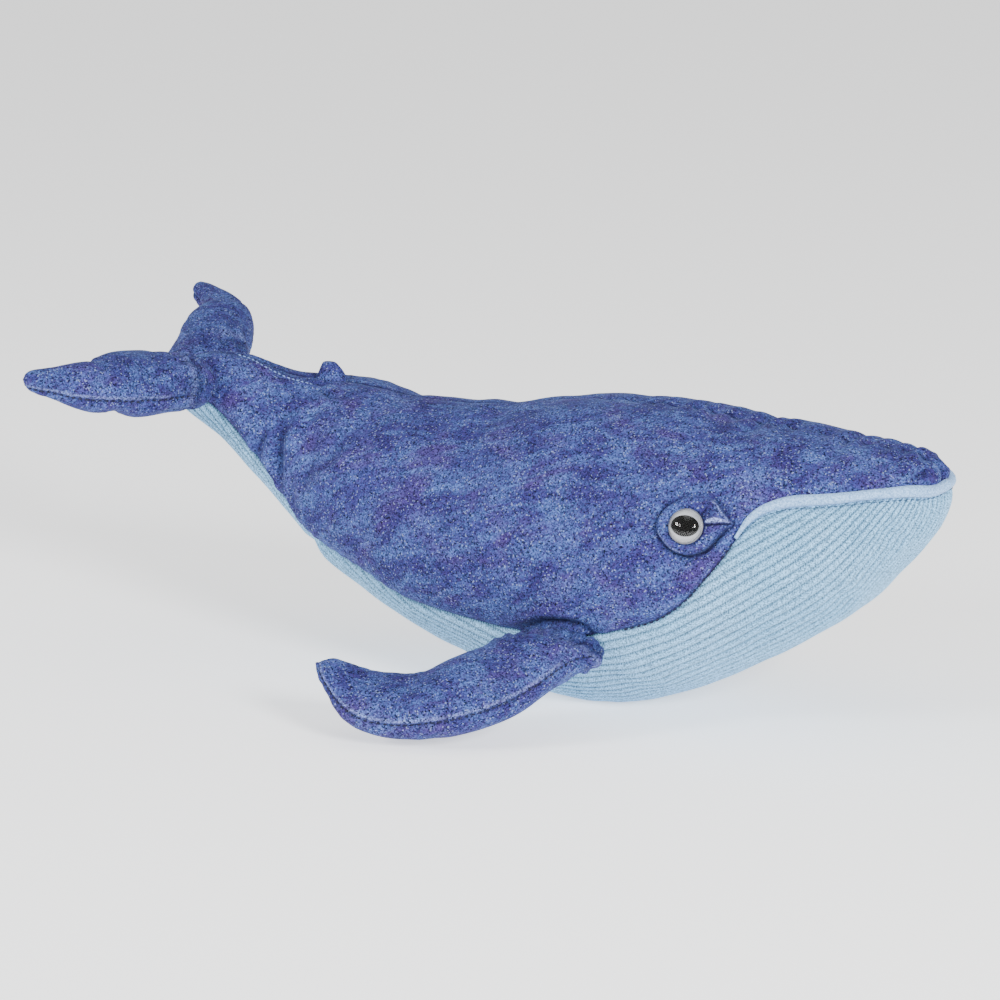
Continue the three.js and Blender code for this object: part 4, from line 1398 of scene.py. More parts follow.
    def build(self, finishes: Finishes, eyes: list["SafetyEye"]) -> None:
        """Makes and dresses the covers of the body.

        Args:
            finishes: the materials.
            eyes: the right eye and the left one.
        """
        self.fill(eyes)
        right, left = (self.side_cover(eye.side, eye, finishes.plush) for eye in eyes)
        belly = self.belly_cover(finishes.corduroy)
        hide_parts("side_panel_right")
        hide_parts("side_panel_left")
        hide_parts("belly_panel", "body_stuffing")
        for piece in (right, left, belly):
            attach(piece, "torso")
            report(piece)


def report(piece: Object) -> None:
    """Logs a finished piece and how fine it is."""
    LOG.info("%s: %d points", piece.name, len(piece.data.vertices))


def tube(path: np.ndarray, radii: np.ndarray, sides: int, name: str) -> Object:
    """Makes a closed round tube along a path.

    Args:
        path: the points of its centre line.
        radii: the tube's radius at each point.
        sides: how many sides it has.
        name: the piece's name.

    Returns:
        The tube.
    """
    tangents = np.gradient(path, axis=0)
    tangents /= np.linalg.norm(tangents, axis=1, keepdims=True)
    upright = np.array([0.0, 0.0, 1.0])
    across = np.cross(tangents, upright)
    across /= np.linalg.norm(across, axis=1, keepdims=True)
    over = np.cross(across, tangents)
    turns = ring_turns(sides)
    ring = across[:, None] * np.cos(turns)[None, :, None] + over[:, None] * np.sin(turns)[None, :, None]
    points = path[:, None] + ring * radii[:, None, None]
    first, last = (np.repeat(path[None, k : k + 1], sides, axis=1) for k in (0, len(path) - 1))
    points = np.concatenate([first, points, last])
    outward = np.concatenate([ring[:1], ring, ring[-1:]])
    return grid_object(name, points, outward, closed=True)


@dataclass
class MouthPiping:
    """The rolled band along the mouth, from corner to corner round the nose."""

    body: WhaleBody
    radius: float = 2.0 * MM
    buried_share: float = 0.2
    corner_run_share: float = 0.12
    steps: int = 150
    sides: int = 16

    def path(self) -> np.ndarray:
        """The centre line of the piping.

        Returns:
            Its points, from the right corner to the left.
        """
        shares = self.body.mouth_corner_share + (1 - self.body.mouth_corner_share) * np.sin(
            np.linspace(0, QUARTER_TURN, self.steps)
        )
        shares[-1] = 1.0
        halves = []
        for side in Side:
            turns = on_side(self.body.seam_turn(shares), side)
            plain = self.body.loft.points(shares, turns)
            normals = self.body.loft.normals(shares, turns)
            halves.append(plain + normals * (-self.buried_share * self.radius))
        halves[0][-1] = halves[1][-1] = (halves[0][-1] + halves[1][-1]) / 2
        return np.concatenate([halves[0], halves[1][-2::-1]])

    def build(self, finishes: Finishes) -> None:
        """Makes and dresses the piping.

        Args:
            finishes: the materials.
        """
        path = self.path()
        run = run_lengths(path[:, None], 0)[:, 0]
        share = run / run[-1]
        corner = smoothstep(np.minimum(share, 1 - share), 0, self.corner_run_share)
        radii = self.radius * (0.35 + 0.65 * corner) * (1 + 0.05 * swell(path, 11 * MM, 4))
        piece = tube(path, radii, self.sides, "mouth_piping")
        dress(piece, finishes.piping)
        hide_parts("lip_piping")
        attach(piece, "torso")
        report(piece)


@dataclass
class Fin:
    """A stuffed fin of two plush faces, sewn to the body at a root that bends."""

    name: str
    side: Side
    length: float
    chord: float
    thickness: float
    root_chord: float
    root_thickness: float
    drop: float
    outward: np.ndarray
    stations: tuple
    root_reach: float
    bend_run: float
    seed: int
    bent_back: float = 0.0
    trail_hollow: float = 0.0
    skin_rows: int = 36
    skin_columns: int = 32
    slack: float = 0.012
    start_inset: float = 0.2 * MM
    root_hold: float = 6 * MM
    tip_hold_shares: tuple[float, float] = (0.55, 0.7)
    topstitch_away: float = 0.5 * MM
    root_steps: int = 3
    path_steps: int = 120
    rows: int = 130
    columns: int = 60
    cloth: float = 1.2 * MM
    seam: SeamPull = SeamPull(1.0 * MM, 1.5 * MM, 0.25 * MM, 5.5 * MM, 4 * MM, 0.4)
    lump_depth: float = 0.45 * MM
    lump_size: float = 21 * MM
    gather_depth: float = 0.5 * MM
    gather_reach: float = 11 * MM
    gather_pitch: float = 5.5 * MM
    # Painted shade near the root, and painted highlights above the topstitch and beside the tuck.
    root_shade: float = 0.15
    edge_light: float = 0.3
    tuck_out: float = -1.5 * MM
    tuck_depth: float = 0.9 * MM
    tuck_width: float = 1.4 * MM
    tuck_light: float = 0.25

    def __post_init__(self) -> None:
        """Finds the hinge and makes the loft in the fin's own frame."""
        joint = next(j for j in frame["joints"] if j["child"] == self.name)
        self.hinge = np.array(joint["pos_m"], float)
        self.forward = np.array(joint["axis"], float) * self.side.value
        self.outward = self.outward - (self.outward @ self.forward) * self.forward
        self.outward /= np.linalg.norm(self.outward)
        self.up = np.cross(self.outward, self.forward) * -self.side.value
        radius = self.root_thickness / 2
        blade = np.array(Matrix.Rotation(-math.radians(self.bent_back), 3, "Z"))
        first, second, crest = [], [], []

        def station(lead: np.ndarray, trail: np.ndarray, half: float) -> None:
            """Adds a station to the three rails.

            Args:
                lead: its point on the leading edge.
                trail: its point on the trailing edge.
                half: half its thickness.
            """
            first.append(lead)
            second.append(trail)
            crest.append(lead * (1 - CREST_SHARE) + trail * CREST_SHARE + np.array([0, 0, half]))

        for i in range(self.root_steps + 1):
            turn = QUARTER_TURN * i / self.root_steps
            out = -radius * math.cos(turn)
            half = self.root_chord / 2 * math.sqrt(math.sin(turn))
            station(np.array([out, half, 0]), np.array([out, -half, 0]), radius * math.sin(turn))
        for lead_out, lead_ahead, trail_out, trail_ahead, half, lift in self.stations:
            level = lift * self.thickness / 2
            lead = (lead_out * self.length, lead_ahead * self.chord / 2, level - self.drop * half)
            hollow = self.trail_hollow * math.sin(HALF_TURN * min(trail_out, 1))
            trail = (trail_out * self.length, trail_ahead * self.chord / 2 + hollow, level)
            station(blade @ np.array(lead), blade @ np.array(trail), half * self.thickness / 2)
        self.loft = Loft(np.array(first), np.array(second), np.array(crest), (0, 0, 1))
        self.filling = self.fill()

    def fill(self) -> Filling:
        """Stuffs the fin's skin, held at its seams, its root and its tip.

        Returns:
            The stuffed skin, in the fin's own frame.
        """
        shares = np.linspace(0, 1, self.skin_rows + 1)[:, None]
        turns = ring_turns(self.skin_columns)[None, :]
        points = self.loft.points(shares, turns)
        held = (np.abs(np.sin(turns)) < 0.01) * np.ones(points.shape[:2])
        held = np.maximum(held, 1 - smoothstep(points[..., 0], 0, self.root_hold))
        held = np.maximum(held, smoothstep(shares, *self.tip_hold_shares))
        normals = self.loft.normals(shares, turns)
        return Filling(
            f"{self.name}_skin", points, normals, held, slack=self.slack, start_inset=self.start_inset
        )

    def moves(self, shares: np.ndarray, turns: np.ndarray) -> np.ndarray:
        """How far the filling moves the skin, in the fin's own frame."""
        rows = np.asarray(shares, float) * self.skin_rows
        return self.filling.at(rows, np.asarray(turns, float) / FULL_TURN * self.skin_columns)

    def placed(self, local: np.ndarray) -> np.ndarray:
        """Points or directions of the fin's own frame, in the model's directions."""
        return local @ np.stack([self.outward, self.forward, self.up])

    def rooted(self, local: np.ndarray) -> np.ndarray:
        """Draws the round root inwards, so that it ends under the body's skin.

        Args:
            local: points of the fin's own frame.

        Returns:
            The moved points.
        """
        moved = local.copy()
        inner = np.minimum(local[..., 0], 0)
        moved[..., 0] = local[..., 0] + inner / (self.root_thickness / 2) * self.root_reach
        return moved

    def face(self, which: Face, material: Material) -> Object:
        """Makes one face of the fin.

        Args:
            which: upper or lower.
            material: its finish.

        Returns:
            The face's cover.
        """
        shares = eased_shares(self.rows)[:, None]
        turns = (eased_shares(self.columns, 0.4)[None, :] + which.value) * HALF_TURN
        plain = self.loft.points(shares, turns)
        normals = self.loft.normals(shares, turns)
        run = run_lengths(plain, 1)
        upper = which is Face.UPPER
        lead = run if upper else run[:, -1:] - run
        trail = run[:, -1:] - lead
        beside = (lead if upper else -lead) - self.topstitch_away
        away = np.minimum(np.abs(beside), trail)
        along = run_lengths(plain, 0)
        lead_run, trail_run = (along[:, :1], along[:, -1:]) if upper else (along[:, -1:], along[:, :1])
        edge = np.where(lead < trail, lead_run, trail_run)
        offset = self.seam.relief(away, edge, self.seed)
        offset = offset + self.lump_depth * swell(plain, self.lump_size, self.seed)
        out = np.maximum(plain[..., 0], 0)
        waver = swell(plain, 30 * MM, self.seed + 1)
        gather = np.sin(plain[..., 1] * FULL_TURN / self.gather_pitch + 1.5 * waver)
        gathered = bell(out, self.gather_reach)
        offset = offset + self.gather_depth * gather * gathered
        ahead = smoothstep(plain[..., 1], -0.1 * self.root_chord, 0.4 * self.root_chord)
        past_tuck = plain[..., 0] - self.tuck_out
        tuck = ahead * bell(past_tuck, self.tuck_width)
        ridge = ahead * bell(past_tuck - 2.2 * self.tuck_width, self.tuck_width)
        offset = offset - self.tuck_depth * tuck
        # Painted shade beside the seam, in the gathers' troughs, in the tuck and near the root.
        fold = np.maximum(self.seam.shade(away), 0.35 * smoothstep(-gather, 0.3, 1.0) * gathered)
        fold = np.maximum(fold, 0.55 * tuck)
        fold = np.maximum(fold, self.root_shade * bell(out, 3.5 * MM))
        offset = offset * end_fade(shares, 0.06, 0.08)
        points = self.rooted(plain + normals * offset[..., None] + self.moves(shares, turns))
        points = self.placed(points) + self.hinge
        points[..., 2] = np.maximum(points[..., 2], 0.02 * MM)
        # Painted highlight: a band above the topstitch, and the ridge beside the tuck.
        pale = self.edge_light * bell(beside - 1.4 * MM, 0.7 * MM) * smoothstep(out, 8 * MM, 16 * MM)
        uv = np.stack([away, along], axis=-1)
        facing = self.placed(normals)
        values = {"fold": fold, "pale": np.maximum(pale, self.tuck_light * ridge)}
        piece = grid_object(f"{self.name}_{which.word}_cover", points, facing, uv=uv, values=values)
        thicken(piece, self.cloth)
        dress(piece, material)
        return piece

    def bend(self, piece: Object) -> None:
        """Bakes the piece's placement into its mesh.

        Args:
            piece: the piece.
        """
        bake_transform(piece)

    def seam_path(self, away: float, out: float, start: float, end: float) -> np.ndarray:
        """A path beside the seam of the leading edge.

        Args:
            away: its distance from the seam, negative on the lower face.
            out: how far it stands off the plain skin.
            start: share of the stations where it starts.
            end: share of the stations where it ends.

        Returns:
            The path's points, in place.
        """
        shares = np.linspace(start, end, self.path_steps)
        turns = self.loft.stepped(shares, np.zeros(self.path_steps), away)
        plain = self.loft.points(shares, turns)
        lumps = self.lump_depth * swell(plain, self.lump_size, self.seed)
        points = plain + self.loft.normals(shares, turns) * (out + lumps)[:, None]
        points = points + self.moves(shares, turns % FULL_TURN)
        return self.placed(self.rooted(points)) + self.hinge

    def build(self, finishes: Finishes) -> None:
        """Makes and dresses both faces.

        Args:
            finishes: the materials.
        """
        upper = self.face(Face.UPPER, finishes.plush)
        lower = self.face(Face.LOWER, finishes.plush)
        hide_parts(f"{self.name}_upper_panel")
        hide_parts(f"{self.name}_lower_panel", f"{self.name}_stuffing")
        for piece in (upper, lower):
            self.bend(piece)
            report(piece)


def flipper(side: Side) -> Fin:
    """The flipper of one side.

    Args:
        side: which side.

    Returns:
        The flipper.
    """
    droop = math.radians(26)
    return Fin(
        name=f"flipper_{side.word}",
        side=side,
        length=58.5 * MM,
        chord=36 * MM,
        thickness=20 * MM,
        root_chord=36 * MM,
        root_thickness=14 * MM,
        drop=-3 * MM,
        outward=np.array([0, side.value * math.cos(droop), -math.sin(droop)]),
        stations=FLIPPER_STATION_SHARES,
        root_reach=4 * MM,
        bend_run=16 * MM,
        topstitch_away=2.6 * MM,
        seed=41,
    )


def fluke(side: Side) -> Fin:
    """The tail fluke of one side.

    The right one's root lies along the turned tail, and its blade is bent back.

    Args:
        side: which side.

    Returns:
        The fluke.
    """
    sweep = 36.5
    root_sweep = 18 if side is Side.RIGHT else sweep
    turn = math.radians(root_sweep)
    rise = math.radians(12.2)
    level = np.array([-math.sin(turn), side.value * math.cos(turn), 0]) * math.cos(rise)
    roll = np.array(Matrix.Rotation(math.radians(7.3), 3, "X"))
    return Fin(
        name=f"fluke_{side.word}",
        side=side,
        length=60.5 * MM,
        chord=38 * MM,
        thickness=21 * MM,
        root_chord=31 * MM,
        root_thickness=21 * MM,
        drop=2 * MM,
        outward=roll @ (level + np.array([0, 0, math.sin(rise)])),
        stations=FLUKE_STATION_SHARES,
        root_reach=4 * MM,
        bend_run=18 * MM,
        bent_back=sweep - root_sweep,
        trail_hollow=0.0 if side is Side.RIGHT else 2.3 * MM,
        topstitch_away=-3.2 * MM,
        seed=51 if side is Side.RIGHT else 52,
    )


@dataclass
class DorsalFin:
    """The small stuffed nub in the back seam."""

    body: WhaleBody
    height: float = 5.8 * MM
    length: float = 12.5 * MM
    thickness: float = 8.5 * MM
    along_share: float = 0.277
    rows: int = 40
    columns: int = 48

    def build(self, finishes: Finishes) -> None:
        """Makes and dresses the nub.

        Args:
            finishes: the materials.
        """
        seat = self.body.loft.points(np.array(self.along_share), np.array(0.0))
        stations = np.array(DORSAL_STATION_SHARES, float)
        zero = np.zeros(len(stations))
        first = np.stack([stations[:, 1] * self.length, zero, stations[:, 0] * self.height], axis=-1) + seat
        second = np.stack([stations[:, 3] * self.length, zero, stations[:, 2] * self.height], axis=-1) + seat
        crest = first * (1 - CREST_SHARE) + second * CREST_SHARE
        crest[:, 1] -= stations[:, 4] * self.thickness / 2
        loft = Loft(first, second, crest, (0, -1, 0))
        shares = eased_shares(self.rows, 0.3)[:, None]
        turns = ring_turns(self.columns)[None, :]
        plain = loft.points(shares, turns)
        normals = loft.normals(shares, turns)
        offset = 0.3 * MM * swell(plain, 7 * MM, 61) * smoothstep(1 - shares, 0, 0.2)
        points = plain + normals * offset[..., None]
        piece = grid_object("dorsal_cover", points, normals, closed=True)
        dress(piece, finishes.plush)
        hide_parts("dorsal_fin")
        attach(piece, "torso")
        report(piece)


@dataclass
class SafetyEye:
    """A safety eye and the teardrop patch sewn behind it."""

    body: WhaleBody
    side: Side
    diameter: float = 12 * MM
    rim: float = 0.3 * MM
    dish_height: float = 1.0 * MM
    dome_height: float = 3.4 * MM
    pupil_length: float = 9.6 * MM
    pupil_height: float = 7.1 * MM
    pupil_thickness: float = 0.5 * MM
    gap: float = 0.3 * MM
    patch_radius: float = 10.4 * MM
    patch_thickness: float = 0.9 * MM
    patch_bulge: float = 1.5 * MM
    groove_depth: float = 1.3 * MM
    groove_width: float = 1.1 * MM
    fold_start: float = 6.4 * MM
    fold_end: float = 14.9 * MM
    fold_rise: float = 1.5 * MM
    fold_slope: float = 0.18
    sliver_height: float = 2.6 * MM
    along_share: float = 0.662
    turn: float = 68.5
    shank_diameter: float = 4 * MM
    shank_length: float = 12 * MM
    sides: int = 64
    patch_columns: int = 160
    patch_rings: int = 44
    hole_inset: float = 1.4 * MM
    foot_depth: float = 1.6 * MM
    edge_round: float = 1.6 * MM
    fold_depth: float = 1.3 * MM
    fold_width: float = 0.4 * MM
    lid_height: float = 0.7 * MM

    def __post_init__(self) -> None:
        """Finds the eye's place on the skin and its own directions."""
        self.angle = on_side(math.radians(self.turn), self.side)
        self.skin = self.body.loft.points(np.array(self.along_share), np.array(self.angle))
        self.out = self.body.loft.normals(np.array(self.along_share), np.array(self.angle))
        ahead = np.array([1.0, 0, 0]) - self.out[0] * self.out
        self.ahead = ahead / np.linalg.norm(ahead)
        self.upward = np.cross(self.out, self.ahead) * -self.side.value
        self.edge_share = smooth_share(tuple((angle, share) for angle, share, _ in PATCH_EDGE))
        self.edge_shade = smooth_share(tuple((angle, dark) for angle, _, dark in PATCH_EDGE))

    def press(self, points: np.ndarray) -> tuple[np.ndarray, np.ndarray]:
        """What the sewn patch does to the cover round it.

        Args:
            points: places on the cover.

        Returns:
            How far the cover is moved out, and how much shade is painted in the groove.
        """
        run = points - self.skin
        ahead, upward, out = (run @ axis for axis in (self.ahead, self.upward, self.out))
        angle = np.degrees(np.arctan2(upward, ahead))
        gap = np.hypot(ahead, upward) - self.patch_radius * self.edge_share(angle)
        groove = bell(gap, self.groove_width) * (np.abs(out) < 2 * self.patch_radius)
        return -self.groove_depth * groove, 0.9 * self.edge_shade(angle) * groove

    def placed(self, local: np.ndarray) -> np.ndarray:
        """Points of the eye's own frame (ahead, upward, out), in place."""
        return self.skin + local @ np.stack([self.ahead, self.upward, self.out])

    def lathe(self, name: str, profile: np.ndarray, squeeze: float = 1.0) -> Object:
        """Turns a profile round the eye's axis.

        Args:
            name: the piece's name.
            profile: pairs of radius and height, from the foot's middle round to the top's middle.
            squeeze: how much lower than long the section is.

        Returns:
            The turned piece.
        """
        turns = ring_turns(self.sides)
        axis = np.array([0, 0, 1.0])
        ring = np.stack([np.cos(turns), np.sin(turns) * squeeze, np.zeros(self.sides)], axis=-1)
        local = profile[:, :1, None] * ring[None] + profile[:, 1:, None] * axis
        outward = np.gradient(profile, axis=0)
        facing = outward[:, 1:, None] * ring[None] - outward[:, :1, None] * axis
        basis = np.stack([self.ahead, self.upward, self.out])
        # Where the painted shade of a rim colour shows: rising from two thirds of the radius to the rim.
        rim = smoothstep(profile[:, :1] / profile[:, 0].max(), 0.66, 1.02)
        values = {"rim": np.repeat(rim, self.sides, axis=1)}
        return grid_object(name, self.placed(local), facing @ basis, closed=True, values=values)

    def skin_under(self, ahead: np.ndarray, upward: np.ndarray) -> tuple[np.ndarray, np.ndarray]:
        """Where on the skin each place across the eye's own plane lies.

        Args:
            ahead: distances towards the mouth.
            upward: distances upwards.

        Returns:
            The shares and turns of the body's loft.
        """
        share = np.full(ahead.shape, self.along_share)
        turn = np.full(ahead.shape, self.angle)
        step = SLOPE_STEP_SHARE

        def miss(s: np.ndarray, t: np.ndarray) -> tuple[np.ndarray, np.ndarray]:
            """How far a place is from the wanted one."""
            run = self.body.loft.points(s, t) - self.skin
            return run @ self.ahead - ahead, run @ self.upward - upward

        for _ in range(8):
            f, g = miss(share, turn)
            fs, gs = ((v - w) / step for v, w in zip(miss(share + step, turn), (f, g)))
            ft, gt = ((v - w) / step for v, w in zip(miss(share, turn + step), (f, g)))
            determinant = fs * gt - ft * gs
            share = share - (f * gt - g * ft) / determinant
            turn = turn - (g * fs - f * gs) / determinant
        return share, turn

    def patch(self, material: Material) -> Object:
        """Makes the padded teardrop behind the eye, with a lid fold from the eye to its point.

        Args:
            material: its finish.

        Returns:
            The patch.
        """
        turns = ring_turns(self.patch_columns)[None, :]
        rings = np.linspace(0, 1, self.patch_rings)[:, None]
        angle = np.degrees(turns) - 360 * (turns > HALF_TURN)
        edge = self.patch_radius * self.edge_share(angle)
        hole = self.diameter / 2 - self.hole_inset
        reach = hole + (edge - hole) * rings
        ahead = reach * np.cos(turns)
        upward = reach * np.sin(turns)
        share, turn = self.skin_under(ahead, upward)
        normals = self.body.loft.normals(share, turn)
        rim = (edge - reach) / self.edge_round
        round_edge = np.sqrt(np.clip(1 - np.clip(1 - rim, 0, 1) ** 2, 0, 1))
        inner = smoothstep(reach - hole, 0, 2.2 * MM)
        crown = self.patch_thickness + self.patch_bulge * np.sin(np.clip(rings, 0, 1) * HALF_TURN) ** 0.7
        above = upward - self.fold_rise - self.fold_slope * (ahead - self.fold_start)
        in_front = smoothstep(ahead, self.fold_start - 0.6 * MM, self.fold_start + 0.4 * MM)
        in_front = in_front * (1 - smoothstep(ahead, self.fold_end, self.fold_end + 1 * MM))
        fold = in_front * bell(above, self.fold_width)
        run = np.clip((ahead - self.fold_start) / (self.fold_end - self.fold_start), 0, 1)
        sliver = self.sliver_height * (0.45 + 0.55 * np.sin(run**0.8 * HALF_TURN)) * (1 - 0.5 * run)
        over_sliver = smoothstep(above - sliver, -0.3 * MM, 0.3 * MM)
        # Painted highlight: the lid's sliver, and a thin line along the rim's upper front and lower back.
        pale = in_front * smoothstep(above, 0.3 * MM, 0.7 * MM) * (1 - over_sliver)
        sewn = smoothstep(angle, 10, 14) * (1 - smoothstep(angle, 50, 58)) + (angle < -95) * (angle > -165)
        pale = np.maximum(0.8 * pale, 0.42 * sewn * bell(edge - reach - 0.9 * MM, 0.35 * MM))
        # Painted shade: the lid's fold line, the groove at the rim, and a spot above and ahead of the eye.
        dark = np.maximum(0.9 * fold, self.edge_shade(angle) * bell(edge - reach, 0.5 * MM))
        beside = np.hypot(ahead - 7.5 * MM, upward - 5.5 * MM)
        dark = np.maximum(dark, 0.5 * bell(beside, 2.4 * MM))
        lid = in_front * smoothstep(above, 0, 1.5 * MM) * self.lid_height
        height = (crown * (0.35 + 0.65 * inner) + lid) * round_edge - self.fold_depth * fold * round_edge
        buried = 0.6 * MM * (1 - round_edge)
        unfilled = self.body.loft.points(share, turn)
        lumps = self.body.lumps(unfilled)
        plain = unfilled + self.body.moves(share, turn)
        points = plain + normals * (height + lumps - buried)[..., None]
        foot = plain[-1:] + normals[-1:] * (lumps[-1:] - self.foot_depth)[..., None]
        points = np.concatenate([points, foot])
        outward = np.concatenate([normals, normals[-1:]])
        values = {"fold": np.vstack([dark, dark[-1:]]), "pale": np.vstack([pale, 0 * pale[-1:]])}
        piece = grid_object(f"eye_patch_cover_{self.side.word}", points, outward, closed=True, values=values)
        dress(piece, material)
        return piece

    def build(self, finishes: Finishes) -> None:
        """Makes and dresses the eye and its patch.

        Args:
            finishes: the materials.
        """
        word = self.side.word
        patch = self.patch(finishes.plush)
        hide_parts(f"eye_patch_{word}")
        lift = self.gap + self.patch_thickness + self.gap
        foot = lift - self.shank_length
        radius = self.diameter / 2
        core = self.shank_diameter / 2
        wide = radius + self.rim
        top = lift + self.dish_height
        round_rim = [
            (wide - 0.4 * MM + 0.4 * MM * math.sin(t), lift + self.dish_height / 2 - 0.5 * MM * math.cos(t))
            for t in np.linspace(0, HALF_TURN, 9)
        ]
        profile = [
            (0, foot),
            (core - 0.3 * MM, foot),
            (core, foot + 0.5 * MM),
            (core, lift),
            *round_rim,
            (radius * 0.92, top - 0.06 * MM),
            (radius * 0.84, top - 0.04 * MM),
            (radius * 0.7, top - 0.02 * MM),
            (0, top),
        ]
        dish = self.lathe(f"eye_{word}_ring", np.array(profile))
        dress(dish, finishes.pearl)
        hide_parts(f"eye_{word}_dish")
        foot = top + self.gap
        half = self.pupil_length / 2
        cap = [
            (half * math.cos(t), foot + self.pupil_thickness * math.sin(t))
            for t in np.linspace(0, QUARTER_TURN, 10)
        ]
        cap[-1] = (0, foot + self.pupil_thickness)
        squeeze = self.pupil_height / self.pupil_length
        pupil = self.lathe(f"eye_{word}_iris", np.array([(0, foot), *cap]), squeeze)
        dress(pupil, finishes.black)
        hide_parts(f"eye_{word}_pupil")
        dome = [
            (radius * math.cos(t), foot + self.dome_height * math.sin(t))
            for t in np.linspace(0, QUARTER_TURN, 20)
        ]
        dome[-1] = (0, foot + self.dome_height)
        recess = half + 0.5 * MM
        ceiling = foot + self.pupil_thickness + self.gap
        profile = [(0, ceiling), (recess, ceiling), (recess, foot), *dome]
        lens = self.lathe(f"eye_{word}_dome", np.array(profile))
        dress(lens, finishes.acrylic)
        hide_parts(f"eye_{word}_lens")
        for piece in (patch, dish, pupil, lens):
            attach(piece, "torso")
            report(piece)
        washer = frame["nodes"][f"eye_{word}_washer"]
        washer.data.materials.clear()
        washer.data.materials.append(finishes.white)


@dataclass
class Stitching:
    """Sewn stitches: short rounded lengths of thread at an even pitch along a path, by geometry nodes."""

    name: str
    pitch: float
    length: float
    thickness: float
    material: Material

    def tree(self) -> NodeTree:
        """Builds the node tree.

        Returns:
            The tree, with inputs for the pitch, length and thickness.
        """
        tree = bpy.data.node_groups.new("stitches_along_a_path", "GeometryNodeTree")
        tree.interface.new_socket("Geometry", in_out="INPUT", socket_type="NodeSocketGeometry")
        for name in ("Pitch", "Length", "Thickness"):
            tree.interface.new_socket(name, in_out="INPUT", socket_type="NodeSocketFloat")
        tree.interface.new_socket("Geometry", in_out="OUTPUT", socket_type="NodeSocketGeometry")
        given = add_node(tree, "NodeGroupInput")
        curve = add_node(tree, "GeometryNodeMeshToCurve", {"Mesh": given.outputs["Geometry"]})
        sockets = {"Curve": curve.outputs["Curve"], "Length": given.outputs["Pitch"]}
        spaced = add_node(tree, "GeometryNodeResampleCurve", sockets, mode="LENGTH")
        ball = add_node(tree, "GeometryNodeMeshUVSphere", {"Segments": 8, "Rings": 6, "Radius": 0.5})
        tangent = add_node(tree, "GeometryNodeInputTangent")
        sockets = {"Vector": tangent.outputs["Tangent"]}
        facing = add_node(tree, "FunctionNodeAlignRotationToVector", sockets, axis="Z")
        thick = given.outputs["Thickness"]
        scale = add_node(tree, "ShaderNodeCombineXYZ", {"X": thick, "Y": thick, "Z": given.outputs["Length"]})
        sockets = {
            "Points": spaced.outputs["Curve"],
            "Instance": ball.outputs["Mesh"],
            "Rotation": facing.outputs["Rotation"],
            "Scale": scale.outputs["Vector"],
        }
        sewn = add_node(tree, "GeometryNodeInstanceOnPoints", sockets)
        real = add_node(tree, "GeometryNodeRealizeInstances", {"Geometry": sewn.outputs["Instances"]})
        sockets = {"Geometry": real.outputs["Geometry"], "Material": self.material}
        dressed = add_node(tree, "GeometryNodeSetMaterial", sockets)
        add_node(tree, "NodeGroupOutput", {"Geometry": dressed.outputs["Geometry"]})
        return tree

    def sew(self, paths: list[np.ndarray]) -> Object:
        """Sews along some paths.

        Args:
            paths: the points of each path.

        Returns:
            The stitches, as one plain mesh.
        """
        points, edges = [], []
        for path in paths:
            start = len(points)
            points.extend(path.tolist())
            edges.extend((start + i, start + i + 1) for i in range(len(path) - 1))
        mesh = bpy.data.meshes.new(f"{self.name}_path")
        mesh.from_pydata(points, edges, [])
        carrier = linked(f"{self.name}_path", mesh)
        maker = carrier.modifiers.new("sewing", "NODES")
        tree = self.tree()
        maker.node_group = tree
        sizes = {"Pitch": self.pitch, "Length": self.length, "Thickness": self.thickness}
        for item in tree.interface.items_tree:
            if item.in_out == "INPUT" and item.name in sizes:
                maker[item.identifier] = sizes[item.name]
        made = plain_copy(carrier, self.name)
        made.data.shade_smooth()
        return made


def plain_copy(carrier: Object, name: str) -> Object:
    """Turns what an object's modifiers make into a plain mesh, and removes the object.

    Args:
        carrier: the object that carries the modifiers.
        name: the new piece's name.

    Returns:
        The new object.
    """
    bpy.context.view_layer.update()
    graph = bpy.context.evaluated_depsgraph_get()
    mesh = bpy.data.meshes.new_from_object(carrier.evaluated_get(graph), depsgraph=graph)
    mesh.name = name
    bpy.data.objects.remove(carrier)
    return linked(name, mesh)


@dataclass
class Seams:
    """All the visible stitches of the toy."""

    body: WhaleBody
    fins: list[Fin]
    back_spots: tuple[tuple[float, float], ...] = (
        (0.148, 0.05),
        (0.19, 0.075),
        (0.232, 0.09),
        (0.264, 0.1),
    )

    def back_path(self) -> np.ndarray:
        """The path of the stitches that close the tail beside the back seam.

        Returns:
            The path's points.
        """
        spots = np.array(self.back_spots)
        shares = np.linspace(spots[0, 0], spots[-1, 0], 60)
        turns = np.interp(shares, spots[:, 0], spots[:, 1]) * HALF_TURN
        plain = self.body.loft.points(shares, turns)
        moved = plain + self.body.moves(shares, turns)
        return moved + self.body.loft.normals(shares, turns) * (self.body.lumps(plain) + 0.05 * MM)[:, None]

    def build(self, finishes: Finishes) -> None:
        """Sews the stitches.

        Args:
            finishes: the materials.
        """
        corner = self.body.mouth_corner_share
        mouth = [
            self.body.seam_path(corner + 0.012, 0.985, side, -3.0 * MM, 0.05 * MM, 200) for side in Side
        ]
        under_lip = Stitching("under_lip_stitches", 2.2 * MM, 1.6 * MM, 0.45 * MM, finishes.pale_thread)
        cheeks = [self.body.seam_path(0.6, corner - 0.004, side, 0.1 * MM, -0.8 * MM, 160) for side in Side]
        cheek = Stitching("cheek_seam_stitches", 2.6 * MM, 1.7 * MM, 0.7 * MM, finishes.dark_thread)
        back = Stitching("back_seam_stitches", 1.9 * MM, 1.3 * MM, 0.45 * MM, finishes.blue_thread)
        for piece in (under_lip.sew(mouth), cheek.sew(cheeks), back.sew([self.back_path()])):
            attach(piece, "torso")
            report(piece)
        for fin in self.fins:
            path = fin.seam_path(fin.topstitch_away, -0.6 * MM, 0.28, 0.93)
            sewn = Stitching(
                f"{fin.name}_edge_stitches", 2.4 * MM, 1.5 * MM, 0.6 * MM, finishes.dark_thread
            ).sew([path])
            fin.bend(sewn)
            report(sewn)


